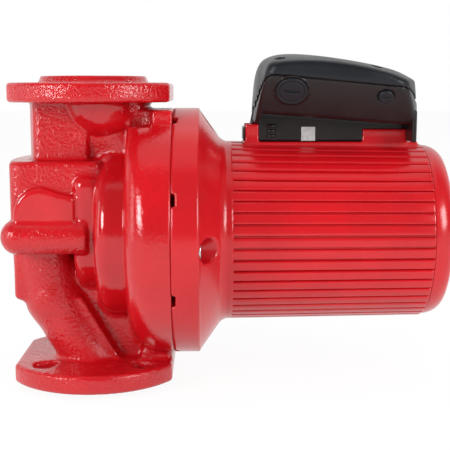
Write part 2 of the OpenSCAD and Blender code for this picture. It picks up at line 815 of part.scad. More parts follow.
// plan of the box with bulged ends, drawn smaller by the wall w on every side
module box_plan(w) {
    half = box_half_w - w;
    flat = half - box_corner + w;
    end_r = (flat * flat + box_bulge * box_bulge) / (2 * box_bulge);
    rounded_rect(box_x + box_bulge + w, box_end_x - box_bulge - w, -half, half, box_corner - w);
    intersection() {
        translate([box_x + w + end_r, 0]) circle(r = end_r, $fn = 360);
        translate([box_end_x - w - end_r, 0]) circle(r = end_r, $fn = 360);
        translate([box_x, -flat]) square([box_len, 2 * flat]);
    }
}

// everything under the lid's crown, which is arched both ways
module under_crown(w) {
    translate([0, 0, saddle_z + crown_h - cross_r]) rotate([0, 90, 0]) rotate_extrude($fn = 360)
        polygon(concat([[0, box_x]],
            [for (k = [0:12]) let (x = box_x + box_len * k / 12)
                [arch_z(x) - saddle_z - crown_h + cross_r - w, x]],
            [[0, box_end_x]]));
}

end_lean = 27; // inward lean of the right end at the height of the crown
top_blunt = 2.5; // unit of the blunted corner

skirt_round = 3.5;
skirt_end_x = box_end_x - 11;

// closed box, drawn smaller by the wall w on every side
module box_solid(w) {
    half = box_half_w - w;
    low = box_low_half_w - w;
    skirt = skirt_half_w - w;
    foot_z = saddle_z + (w > 0 ? floor_t : 0);
    tilted() intersection() {
        translate([0, 0, box_low_z + w]) linear_extrude(crown_h) box_plan(w);
        under_crown(w);
        along(box_x, box_end_x) polygon([[-low, box_low_z + w], [low, box_low_z + w],
            [half, box_low_z + flare_rise], [half, saddle_z + crown_h], [-half, saddle_z + crown_h],
            [-half, box_low_z + flare_rise]]);
        // both ends lean inwards, the left one with a blunted top corner
        across(box_half_w + cut) polygon([[box_x + w, saddle_z], [box_end_x - w, saddle_z],
            [box_end_x - w - end_lean, saddle_z + crown_h], [box_x + w + 4 * top_blunt, saddle_z + crown_h],
            [box_x + w + 2 * top_blunt, saddle_z + crown_h - 2 * top_blunt],
            [box_x + w + top_blunt, saddle_z + crown_h - 3.5 * top_blunt]]);
    }
    rounded_block(skirt_x + w, box_x + 30, skirt, foot_z, box_low_z - 9, skirt_round);
    rounded_block(box_x + w, box_x + box_len / 2, skirt, foot_z, box_low_z + 4, skirt_round);
    rounded_block(box_x + w, skirt_end_x - w, skirt, foot_z, box_low_z - 7, skirt_round);
}

left_dip = 17; // depth to which the lid hangs down over the two ends
right_dip = 12;

// region above the seam, shifted by d along its normal
module above_seam(d) {
    z0 = seam_z(box_x) + d;
    z1 = seam_z(box_end_x) + d;
    tilted() across(box_half_w + 5) polygon([
        [box_x - 20, z0 - left_dip], [box_x + 3 - d, z0 - left_dip], [box_x + 5 - d, z0 - 0.6 * left_dip],
        [box_x + 9 - d, z0 - 0.2 * left_dip], [box_x + 14 - d, z0],
        [box_end_x - 32 + d, z1], [box_end_x - 26 + d, z1 - 0.2 * right_dip],
        [box_end_x - 22 + d, z1 - 0.5 * right_dip], [box_end_x - 20 + d, z1 - right_dip],
        [box_end_x + 20, z1 - right_dip], [box_end_x + 20, saddle_z + crown_h + 40],
        [box_x - 20, saddle_z + crown_h + 40]]);
}

function lid_screw_places() =
    [for (x = [box_x + lid_screw_inset_x, box_end_x - 2 * lid_screw_inset_x + 4],
        y = [-box_half_w + lid_screw_inset_y, box_half_w - lid_screw_inset_y]) [x, y]];

// frame on the front of the tub's flared side at part t of its rise, its Z pointing out of the side
module on_flare(x, t) {
    lean = atan((box_half_w - box_low_half_w) / flare_rise);
    tilted() translate([x, -box_low_half_w - t * (box_half_w - box_low_half_w), box_low_z + t * flare_rise])
        rotate([90 + lean, 0, 0]) children();
}

plug_rise = 0.66; // place of the plugs on the flare, as a part of its rise
small_plug_rise = 0.68;

module on_plug() {
    on_flare(box_x + plug_at, plug_rise) children();
}

module on_small_plug() {
    on_flare(box_x + small_plug_at, small_plug_rise) children();
}

// room for the motor's posts beside the skirt, grown by w
module post_room(w) {
    for (s = [-1, 1], post = box_post_sizes())
        translate([post[0] - w, s > 0 ? post_y - w : -skirt_half_w - cut, saddle_z - cut])
            cube([post[1] + 2 * w, skirt_half_w + cut - post_y + w, post[2] + cut + w]);
}

end_wall_t = 4;
end_wall_half_w = 45;
foot_gap = 1; // gap between the end wall's foot and the ribs

module base_shell() {
    difference() {
        box_solid(0);
        difference() {
            box_solid(box_wall);
            post_room(box_wall);
        }
        post_room(drop_gap);
    }
    for (p = lid_screw_places()) translate([p[0], p[1], box_low_z])
        cylinder(r = lid_post_r, h = crown_h);
}

module terminal_box_base() {
    color(black_plastic) {
        difference() {
            intersection() {
                base_shell();
                box_solid(0);
            }
            above_seam(0);
            for (p = lid_screw_places()) translate([p[0], p[1], seam_z(p[0]) - 14])
                cylinder(d = lid_screw_d, h = crown_h);
            translate([lead_x, 0, saddle_z - cut]) cylinder(r = lead_hole_r, h = floor_t + 2 * cut);
            for (p = box_screw_places()) translate([p[0], p[1], saddle_z - cut])
                cylinder(d = box_screw_d + 2 * drop_gap, h = floor_t + 2 * cut);
            on_plug() translate([0, 0, -plug_depth]) cylinder(d = plug_d - 2 * plug_rim, h = 2 * plug_depth);
            on_small_plug() translate([0, 0, -plug_depth])
                cylinder(d = small_plug_d - plug_rim, h = 2 * plug_depth);
            on_small_plug() translate([0, 0, -plug_sink]) cylinder(d = small_plug_d, h = plug_depth);
        }
        // wall that closes the right end down to the ribs
        difference() {
            translate([skirt_end_x, -end_wall_half_w, saddle_z + foot_gap])
                cube([end_wall_t, 2 * end_wall_half_w, box_low_z - saddle_z - 10]);
            post_room(drop_gap);
        }
        // vent hood on the skirt
        for (k = [0:2]) translate([box_x + 15, -skirt_half_w - 1, saddle_z + 4 + 4.5 * k])
            cube([8, 1 + eps, 3]);
    }
}

module terminal_box_lid() {
    color([0.17, 0.18, 0.21]) difference() {
        intersection() {
            difference() {
                box_solid(0);
                difference() {
                    box_solid(box_wall);
                    for (p = lid_screw_places()) translate([p[0], p[1], box_low_z])
                        cylinder(r = lid_post_r, h = crown_h);
                }
            }
            above_seam(seam_gap);
        }
        for (p = lid_screw_places()) translate([p[0], p[1], 0]) {
            translate([0, 0, box_low_z]) cylinder(d = lid_screw_d + 1, h = crown_h);
            translate([0, 0, lid_screw_seat(p[0])]) cylinder(d = lid_screw_head_d + 1, h = lid_head_depth + 20);
        }
    }
}

lid_screw_d = 3.5;
lid_head_depth = 8; // depth of the screw wells below the crown
plug_depth = 4;
plug_rim = 3;
plug_sink = 1; // depth of the small plug below the wall
function lid_screw_seat(x) = min(tilt_z(x, arch_z(x)), saddle_z + crown_h - 6) - lid_head_depth;
// height of the tilted frame's point (x, z) above the base
function tilt_z(x, z) = saddle_z + (z - saddle_z) * cos(box_tilt) - (x - box_x) * sin(box_tilt);

module lid_gasket() {
    band = 1.2; // half of the gasket's height
    color([0.07, 0.07, 0.07]) intersection() {
        difference() {
            box_solid(box_wall + 0.05);
            box_solid(box_wall + 1.6);
            for (p = lid_screw_places()) translate([p[0], p[1], box_low_z])
                cylinder(r = lid_post_r + 0.3, h = 90);
        }
        difference() {
            above_seam(-band);
            above_seam(band);
        }
        translate([box_x + 22, -box_half_w, saddle_z]) cube([box_len - 62, 2 * box_half_w, 90]);
    }
}

module pan_screw(head_d, head_h, d, len) {
    difference() {
        cylinder(d = head_d, h = head_h, $fn = 48);
        for (a = [0, 90]) rotate(a) translate([-head_d * 0.3, -0.5, head_h - 1.2]) cube([head_d * 0.6, 1, 2]);
    }
    translate([0, 0, -len]) cylinder(d = d, h = len + eps, $fn = 48);
}

module lid_screws() {
    color(steel) for (p = lid_screw_places()) translate([p[0], p[1], lid_screw_seat(p[0])])
        pan_screw(lid_screw_head_d, 3, lid_screw_d, lid_screw_seat(p[0]) - seam_z(p[0]) + 12);
}

module box_screws() {
    color(steel) for (p = box_screw_places()) translate([p[0], p[1], saddle_z + floor_t])
        pan_screw(9, 3.2, box_screw_d, floor_t + box_screw_depth - 1);
}

// parts inside the box; they stand on the tub's floor
tub_floor_z = box_low_z + box_wall;
block_x = box_x + 24;
block_y = -22;
block_w = 28;
block_h = 16;
terminal_pitch = 9;
terminal_count = 6;
terminal_screw_d = 5;

function terminal_screw_places() =
    [for (k = [0:terminal_count - 1], y = [7, block_w - 7]) [block_x + 6 + k * terminal_pitch, block_y + y]];

module terminal_block() {
    color([0.85, 0.85, 0.8]) tilted() difference() {
        translate([block_x, block_y, tub_floor_z])
            cube([terminal_count * terminal_pitch + 3, block_w, block_h]);
        for (k = [0:terminal_count - 1])
            translate([block_x + 3 + k * terminal_pitch, block_y - cut, tub_floor_z + 5])
                cube([terminal_pitch - 3, block_w + 2 * cut, 6]);
        for (p = terminal_screw_places()) translate([p[0], p[1], tub_floor_z + block_h - 4])
            cylinder(d = terminal_screw_d + 2 * drop_gap, h = 10, $fn = 48);
    }
}

module terminal_screws() {
    color([0.8, 0.7, 0.4]) tilted() for (p = terminal_screw_places())
        translate([p[0], p[1], tub_floor_z + block_h - 4]) difference() {
            cylinder(d = terminal_screw_d, h = 3, $fn = 48);
            translate([-terminal_screw_d, -0.4, 1.8]) cube([2 * terminal_screw_d, 0.8, 2]);
        }
}

module_x = box_end_x - 63;
module_len = 30;
module_half_w = 18;
module_h = 20;
knob_at = module_x + module_len / 2;
knob_r = 11;
knob_stem_r = 4;
knob_stem_depth = 7;
module speed_module() {
    color([0.2, 0.22, 0.26]) tilted() difference() {
        translate([module_x, -module_half_w, tub_floor_z]) cube([module_len, 2 * module_half_w, module_h]);
        translate([knob_at, 0, tub_floor_z + module_h - knob_stem_depth - 1])
            cylinder(r = knob_stem_r + bearing_gap, h = 2 * knob_stem_depth);
    }
}

module speed_knob() {
    color([0.86, 0.3, 0.1]) tilted() translate([knob_at, 0, tub_floor_z + module_h]) {
        translate([0, 0, -knob_stem_depth]) cylinder(r = knob_stem_r, h = knob_stem_depth + 1);
        translate([0, 0, thrust_play]) cylinder(r = knob_r, h = 4);
        translate([-knob_r + 1, -2, 4]) cube([2 * knob_r - 2, 4, 6]);
    }
}

capacitor_r = 13;
capacitor_y = 23;
capacitor_len = 55;
module run_capacitor() {
    z = tub_floor_z + capacitor_r;
    color([0.75, 0.76, 0.78]) tilted()
        bar([block_x, capacitor_y, z], [block_x + capacitor_len, capacitor_y, z], capacitor_r);
}

module cable_plug_large() {
    color([0.15, 0.16, 0.19]) on_plug() difference() {
        union() {
            cylinder(d = plug_d, h = 2.2);
            translate([0, 0, -plug_depth]) cylinder(d = plug_d - 2 * plug_rim, h = plug_depth + eps);
        }
        translate([-6, -0.6, 1.2]) cube([12, 1.2, 2]);
    }
}

module cable_plug_small() {
    color([0.15, 0.16, 0.19]) on_small_plug() {
        translate([0, 0, -plug_depth]) cylinder(d = small_plug_d - plug_rim, h = plug_depth);
        translate([0, 0, -plug_sink])
            cylinder(d1 = small_plug_d - drop_gap, d2 = small_plug_d - 2 * plug_rim, h = 2.4);
    }
}

module winding_leads() {
    color([0.15, 0.3, 0.7]) for (a = [0:90:270])
        translate([lead_x + 2.4 * cos(a), 2.4 * sin(a), axis_z + stator_bore / 2 - 3])
            cylinder(r = 1.5, h = saddle_z + 14 - axis_z - stator_bore / 2, $fn = 32);
}

module lead_grommet() {
    color([0.1, 0.1, 0.1]) translate([lead_x, 0, saddle_z - 6]) difference() {
        union() {
            cylinder(r = lead_hole_r, h = 6 + floor_t + 2);
            translate([0, 0, 6 + floor_t]) cylinder(r = lead_hole_r + 1.5, h = 2);
        }
        translate([0, 0, -cut]) cylinder(r = lead_hole_r - grommet_wall, h = 30);
    }
}

module box_label() {
    color([0.75, 0.74, 0.74]) translate([box_x + 46, -skirt_half_w - label_t, saddle_z + cut])
        cube([label_w, label_t, label_w]);
}

pump_housing();
neck_ring();
impeller();
split_cone();
impeller_nut();
shaft();
rotor_core();
rotor_end_rings();
thrust_bearing();
front_bearing();
rear_bearing();
bearing_plate();
rotor_can();
housing_gasket();
can_seal();
motor_housing();
stator_core();
stator_windings();
housing_screws();
terminal_box_base();
terminal_box_lid();
lid_gasket();
lid_screws();
box_screws();
terminal_block();
terminal_screws();
speed_module();
speed_knob();
run_capacitor();
cable_plug_large();
cable_plug_small();
winding_leads();
lead_grommet();
rating_plate();
box_label();
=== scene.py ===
import math

import bmesh
import bpy
import numpy as np
from mathutils import Matrix, Vector


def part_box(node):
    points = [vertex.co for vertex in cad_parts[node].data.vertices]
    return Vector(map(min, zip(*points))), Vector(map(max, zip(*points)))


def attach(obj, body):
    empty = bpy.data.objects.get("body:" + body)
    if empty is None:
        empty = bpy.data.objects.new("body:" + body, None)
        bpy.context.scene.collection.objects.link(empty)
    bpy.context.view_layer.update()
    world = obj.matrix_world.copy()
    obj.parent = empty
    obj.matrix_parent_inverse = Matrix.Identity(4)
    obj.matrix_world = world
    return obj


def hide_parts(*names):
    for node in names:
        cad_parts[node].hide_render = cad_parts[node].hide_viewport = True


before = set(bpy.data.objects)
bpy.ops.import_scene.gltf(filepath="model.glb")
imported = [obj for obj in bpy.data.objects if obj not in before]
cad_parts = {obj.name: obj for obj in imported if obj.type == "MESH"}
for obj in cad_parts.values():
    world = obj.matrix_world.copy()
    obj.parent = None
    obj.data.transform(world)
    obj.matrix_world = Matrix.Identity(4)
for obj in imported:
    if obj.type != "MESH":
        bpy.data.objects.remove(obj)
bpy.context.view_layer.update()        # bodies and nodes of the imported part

bl_info = {
    "name": "In-line circulator pump",
    "version": (1, 0, 0),
    "blender": (4, 5, 0),
    "location": "3D View > Sidebar > Circulator",
    "description": "Castings, ribbed motor, terminal box, screws and finishes of a wet-rotor pump",
    "category": "Object",
}

MM = 0.001


def node_box(node):
    """Lowest and highest corner of a CAD node, in millimetres."""
    return tuple(np.round(np.array(corner, float) / MM, 1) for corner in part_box(node))


HOUSING_LOW, HOUSING_HIGH = node_box("pump_housing")
MOTOR_LOW, MOTOR_HIGH = node_box("motor_housing")
TUB_LOW, TUB_HIGH = node_box("terminal_box_base")
SHAFT_LOW, SHAFT_HIGH = node_box("shaft")
PLATE_LOW, PLATE_HIGH = node_box("rating_plate")
GROMMET_LOW, GROMMET_HIGH = node_box("lead_grommet")
RING_LOW, RING_HIGH = node_box("neck_ring")
GASKET_LOW, GASKET_HIGH = node_box("housing_gasket")
LID_SCREWS_LOW, LID_SCREWS_HIGH = node_box("lid_screws")

PORT_TO_PORT = HOUSING_HIGH[2]
JOINT_X = HOUSING_HIGH[0]
DRUM_R = HOUSING_HIGH[1]
AXIS_Z = round((SHAFT_LOW[2] + SHAFT_HIGH[2]) / 2, 1)
RIM_R = MOTOR_HIGH[1]
REGISTER_X = MOTOR_LOW[0]
SADDLE_Z = TUB_LOW[2]
SKIRT_X = TUB_LOW[0]
BOX_X = SKIRT_X + 6.5
BOX_LEN = 151.0
BOX_TILT = math.radians(4.4)
SCREW_CIRCLE_R = RIM_R - 13.5
SCREW_TURN = math.radians(1.8)  # turn of the motor screws and drain slots about the shaft
NUT_ROOM_R = 13  # radius of the room for a nut behind each bolt hole
NUT_ROOM_H = 21  # height of that room
COLUMN_LEFT = -58.5  # left end of the discharge column
COLUMN_WALL = 9  # wall of the discharge column
EMPTY = 1e3  # distance that stands for nothing there


# ---- distance fields: below zero inside, in millimetres ----

def join(a, b, fillet=0.01):
    """Two shapes as one, with a fillet where they meet."""
    near = np.maximum(fillet - np.abs(a - b), 0) / fillet
    return np.minimum(a, b) - near * near * fillet / 4


def keep(a, b, edge=0.01):
    """What two shapes share, with the edge between them eased."""
    return -join(-a, -b, edge)


def cut(a, b, edge=0.01):
    """The first shape without the second."""
    return keep(a, -b, edge)


def crossed(u, v, edge):
    """What two crossing walls share, with a truly round edge."""
    u, v = u + edge, v + edge
    return np.minimum(np.maximum(u, v), 0) + np.hypot(np.maximum(u, 0), np.maximum(v, 0)) - edge


def span(t, a, b):
    return np.abs(t - (a + b) / 2) - (b - a) / 2


def disc(p, a, b, radius, edge=0.01):
    """Round body on the motor axis."""
    return crossed(np.hypot(p[1], p[2] - AXIS_Z) - radius, span(p[0], a, b), edge)


def pillar(p, cx, cy, a, b, radius, edge=0.01):
    """Upright round body."""
    return crossed(np.hypot(p[0] - cx, p[1] - cy) - radius, span(p[2], a, b), edge)


def pin(p, cy, cz, a, b, radius, edge=0.01):
    """Round body parallel to the motor axis."""
    return crossed(np.hypot(p[1] - cy, p[2] - cz) - radius, span(p[0], a, b), edge)


def block(p, low, high, edge):
    q = [span(t, a, b) + edge for t, a, b in zip(p, low, high)]
    far = np.sqrt(sum(np.maximum(t, 0) ** 2 for t in q))
    return far + np.minimum(np.maximum(np.maximum(q[0], q[1]), q[2]), 0) - edge


def bar(p, a, b, radius, flat=0.0):
    """Round bar between two points; flat widens it across the pump."""
    a, b = np.array(a, float), np.array(b, float)
    d = [p[0] - a[0], np.maximum(np.abs(p[1] - a[1]) - flat, 0) * np.sign(p[1] - a[1]), p[2] - a[2]]
    v = b - a
    t = np.clip((d[0] * v[0] + d[1] * v[1] + d[2] * v[2]) / (v @ v), 0, 1)
    return np.sqrt(sum((d[i] - t * v[i]) ** 2 for i in range(3))) - radius


def outline(u, v, points, corner):
    """Convex outline whose points run counterclockwise."""
    d = None
    for (ax, ay), (bx, by) in zip(points, points[1:] + points[:1]):
        run = math.hypot(bx - ax, by - ay)
        wall = ((u - ax) * (by - ay) - (v - ay) * (bx - ax)) / run
        d = wall if d is None else keep(d, wall, corner)
    return d


def wedge(p, x0, setback, x1, half_w, z0, z1, corner, edge):
    """Upright block with a blunt wedge on its left side."""
    plan = outline(p[0], p[1], [(x0, -half_w / 4), (x0 + setback, -half_w), (x1, -half_w), (x1, half_w),
                                (x0 + setback, half_w), (x0, half_w / 4)], corner)
    return crossed(plan, span(p[2], z0, z1), edge)


def skin(name, field, low, high, step):
    """Closed mesh on a field's zero surface: one point in each grid cell that the surface crosses."""
    axes = [np.arange(a, b + step, step) for a, b in zip(low, high)]
    f = field(np.meshgrid(*axes, indexing="ij"))
    quads, places = [], []
    for k in range(3):
        first, second = [slice(None)] * 3, [slice(None)] * 3
        first[k], second[k] = slice(None, -1), slice(1, None)
        a, b = f[tuple(first)], f[tuple(second)]
        at = np.argwhere((a < 0) != (b < 0))
        va, vb = a[tuple(at.T)], b[tuple(at.T)]
        place = at.astype(float)
        place[:, k] += va / (va - vb)
        ring = []
        for du, dw in ((0, 0), (1, 0), (1, 1), (0, 1)):
            cell = at.copy()
            cell[:, (k + 1) % 3] -= du
            cell[:, (k + 2) % 3] -= dw
            ring.append(np.ravel_multi_index(cell.T, f.shape))
        ring = np.stack(ring, 1)
        ring[va >= 0] = ring[va >= 0][:, ::-1]
        quads.append(ring)
        places.append(np.repeat(place, 4, axis=0))
    quads, places = np.concatenate(quads), np.concatenate(places)
    cells, where = np.unique(quads.ravel(), return_inverse=True)
    share = np.bincount(where).astype(float)
    points = np.stack([np.bincount(where, places[:, k]) / share for k in range(3)], 1) * step + np.array(low)
    for _ in range(3):
        here = field(points.T)
        slope = np.stack([(field((points + shift).T) - field((points - shift).T)) / 0.1
                          for shift in np.eye(3) * 0.05], 1)
        move = slope * (here / np.maximum((slope ** 2).sum(1), 0.05))[:, None]
        size = np.linalg.norm(move, axis=1)
        points -= move * np.minimum(1, 0.6 * step / np.maximum(size, 1e-9))[:, None]
    return as_object(name, points, where.reshape(-1, 4))


# ---- meshes ----

def as_object(name, points, faces):
    """Object at the origin from points in millimetres."""
    mesh = bpy.data.meshes.new(name)
    points = np.asarray(points, float) * MM
    faces = faces.tolist() if isinstance(faces, np.ndarray) else faces
    mesh.from_pydata(points.tolist(), [], faces)
    mesh.shade_smooth()
    mesh.validate()
    piece = bpy.data.objects.new(name, mesh)
    bpy.context.scene.collection.objects.link(piece)
    return piece


def outward(piece):
    """Recalculates a closed piece's normals after its doubles are merged."""
    work = bmesh.new()
    work.from_mesh(piece.data)
    bmesh.ops.remove_doubles(work, verts=work.verts, dist=1e-7)
    bmesh.ops.recalc_face_normals(work, faces=work.faces)
    work.to_mesh(piece.data)
    work.free()
    return piece


def merged(name, pieces):
    """One plain mesh from several finished ones."""
    work = bmesh.new()
    for piece in pieces:
        work.from_mesh(piece.data)
        bpy.data.objects.remove(piece)
    mesh = bpy.data.meshes.new(name)
    work.to_mesh(mesh)
    work.free()
    mesh.shade_smooth()
    whole = bpy.data.objects.new(name, mesh)
    bpy.context.scene.collection.objects.link(whole)
    return whole


def crease(piece, degrees):
    piece.data.set_sharp_from_angle(angle=math.radians(degrees))
    return piece


def finished(piece, material, body, slot, *nodes):
    """Gives a piece its finish and its body, and hides the CAD nodes that it stands for."""
    piece.data.materials.clear()
    piece.data.materials.append(finish_named(material))
    for face in piece.data.polygons:
        face.material_index = 0
    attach(piece, body)
    for node in nodes:
        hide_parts(node)
    return piece


def copies_tree():
    """Geometry nodes: copies of a template, each one step and one turn about X further than the last."""
    tree = bpy.data.node_groups.new("Stepped copies", "GeometryNodeTree")
    sockets = [("Template", "NodeSocketObject"), ("Count", "NodeSocketInt"), ("Start", "NodeSocketVector"),
               ("Step", "NodeSocketVector"), ("First Turn", "NodeSocketFloat"), ("Turn", "NodeSocketFloat"),
               ("Material", "NodeSocketMaterial")]
    for name, kind in sockets:
        tree.interface.new_socket(name, in_out="INPUT", socket_type=kind)
    tree.interface.new_socket("Geometry", in_out="OUTPUT", socket_type="NodeSocketGeometry")
    new, link = tree.nodes.new, tree.links.new
    given, result = new("NodeGroupInput"), new("NodeGroupOutput")
    line = new("GeometryNodeMeshLine")
    line.mode = "OFFSET"
    template = new("GeometryNodeObjectInfo")
    index = new("GeometryNodeInputIndex")
    turn = new("ShaderNodeMath")
    turn.operation = "MULTIPLY_ADD"
    angles = new("ShaderNodeCombineXYZ")
    place = new("GeometryNodeInstanceOnPoints")
    real, finish = new("GeometryNodeRealizeInstances"), new("GeometryNodeSetMaterial")
    link(given.outputs["Count"], line.inputs["Count"])
    link(given.outputs["Start"], line.inputs["Start Location"])
    link(given.outputs["Step"], line.inputs["Offset"])
    link(given.outputs["Template"], template.inputs["Object"])
    link(index.outputs[0], turn.inputs[0])
    link(given.outputs["Turn"], turn.inputs[1])
    link(given.outputs["First Turn"], turn.inputs[2])
    link(turn.outputs[0], angles.inputs["X"])
    link(line.outputs[0], place.inputs["Points"])
    link(template.outputs["Geometry"], place.inputs["Instance"])
    link(angles.outputs[0], place.inputs["Rotation"])
    link(place.outputs[0], real.inputs[0])
    link(real.outputs[0], finish.inputs["Geometry"])
    link(given.outputs["Material"], finish.inputs["Material"])
    link(finish.outputs[0], result.inputs[0])
    return tree


def copies(name, template, material, count, start, step=(0, 0, 0), first_turn=0.0, turn=0.0):
    """Runs the copies tree on a template that is drawn around the origin, and returns a plain mesh."""
    tree = bpy.data.node_groups.get("Stepped copies") or copies_tree()
    carrier = bpy.data.objects.new(name + "_carrier", bpy.data.meshes.new(name + "_carrier"))
    bpy.context.scene.collection.objects.link(carrier)
    modifier = carrier.modifiers.new("copies", "NODES")
    modifier.node_group = tree
    values = {"Template": template, "Count": count, "Start": [t * MM for t in start],
              "Step": [t * MM for t in step], "First Turn": first_turn, "Turn": turn,
              "Material": finish_named(material)}
    for socket in tree.interface.items_tree:
        if socket.item_type == "SOCKET" and socket.in_out == "INPUT":
            modifier[socket.identifier] = values[socket.name]
    carrier.update_tag()
    graph = bpy.context.evaluated_depsgraph_get()
    mesh = bpy.data.meshes.new_from_object(carrier.evaluated_get(graph), depsgraph=graph)
    if not mesh.polygons:
        raise RuntimeError(f"{name}: the copies tree gave no faces")
    carrier.modifiers.clear()
    bpy.data.objects.remove(carrier)
    bpy.data.objects.remove(template)
    mesh.name = name
    mesh.shade_smooth()
    piece = bpy.data.objects.new(name, mesh)
    bpy.context.scene.collection.objects.link(piece)
    return piece


# ---- pump casting ----

FLANGE_BACK = 23.0       # height of a flange's back face above its sealing face
RAISED_H = 6.0
DRUM_X = JOINT_X - 40
RING_X = DRUM_X - 28
NOSE_X = RING_X - 21
CAVITY_X = RING_HIGH[0]
COLUMN_RIGHT = -3.0
COLUMN_SETBACK = 8.5
COLUMN_HALF_W = 30.0
LEG_FOOT = (-4, 0, 19)
LEG_KNEE = (-38, 0, AXIS_Z - 62)
LEG_TOP = (-46, 0, AXIS_Z - 18)
EYE_R = 27.0
LEG_BORE_R = 21.0
BELT_R = 15.5
BELT_X = HOUSING_LOW[0] + BELT_R
BELT_Y = 48.0
DOME_HALF_W = 57.0
DUCT_FOOT = (JOINT_X - 34, 0, AXIS_Z + 72)
DUCT_HEAD = (4, 0, PORT_TO_PORT - 36)


def flange(p, edge, hole_edge, hole_r):
    """Port flange on the floor of its own frame, with keyhole bolt holes."""
    plan = crossed(np.hypot(p[0], p[1]) - 82.5, np.abs(p[0]) - 71, 1.5)
    plate = crossed(plan, span(p[2], RAISED_H, FLANGE_BACK), edge)
    face = crossed(np.hypot(p[0], p[1]) - 47.5 - 0.35 * p[2], span(p[2], 0, 14), 0.8)
    body = join(plate, face, 3)
    x, y = np.abs(p[0]), np.abs(p[1])
    for circle, radius in ((125, hole_r), (110, 6.5)):
        at = circle / 2 * math.sqrt(0.5)
        body = cut(body, np.hypot(x - at, y - at) - radius, hole_edge)
    return body


def nut_rooms(p):
    """Room for a nut and its spanner behind each bolt hole."""
    at = 62.5 * math.sqrt(0.5)
    round_hole = np.hypot(np.abs(p[0]) - at, np.abs(p[1]) - at) - NUT_ROOM_R
    low = span(p[2], FLANGE_BACK, FLANGE_BACK + NUT_ROOM_H)
    top = PORT_TO_PORT - FLANGE_BACK
    return crossed(round_hole, np.minimum(low, span(p[2], top - NUT_ROOM_H, top)), 1.5)


def port_bulb(p):
    """Bulb where the duct turns up into the port."""
    return np.sqrt((p[0] - 12) ** 2 + np.maximum(np.abs(p[1]) - 8, 0) ** 2
                   + (p[2] - PORT_TO_PORT + FLANGE_BACK - 5) ** 2) - 40


def shoulder(p):
    return block(p, (NOSE_X + 1, -DOME_HALF_W, AXIS_Z), (RING_X + 6, DOME_HALF_W, AXIS_Z + 56), 11)


def dome(p):
    """Flat-faced dome over the belt, with its roof falling towards the nose."""
    x, z = p[0], p[2]
    dome_x, dome_z, dome_r = BELT_X + 19, AXIS_Z + 23, 21
    bulb = np.hypot(x - dome_x, z - dome_z) - dome_r
    roof = outline(x, z, [(dome_x - dome_r, AXIS_Z), (NOSE_X + 4, AXIS_Z), (NOSE_X + 4, dome_z + dome_r - 7),
                          (dome_x, dome_z + dome_r), (dome_x - dome_r, dome_z)], 3)
    return crossed(join(bulb, roof, 4), np.abs(p[1]) - DOME_HALF_W - 1, 3)


def drum(p):
    """Volute drum: its edge is tight at the top, where the scroll is full, and wide on the other sides."""
    x, y, z = p
    r = np.hypot(y, z - AXIS_Z)
    rise = (z - AXIS_Z) / np.maximum(r, 1)
    corner = 24 - 16 * np.maximum(rise, 0) ** 2 + 3 * np.maximum(-rise, 0)
    return crossed(r - DRUM_R, span(x, DRUM_X, JOINT_X + 60), corner)


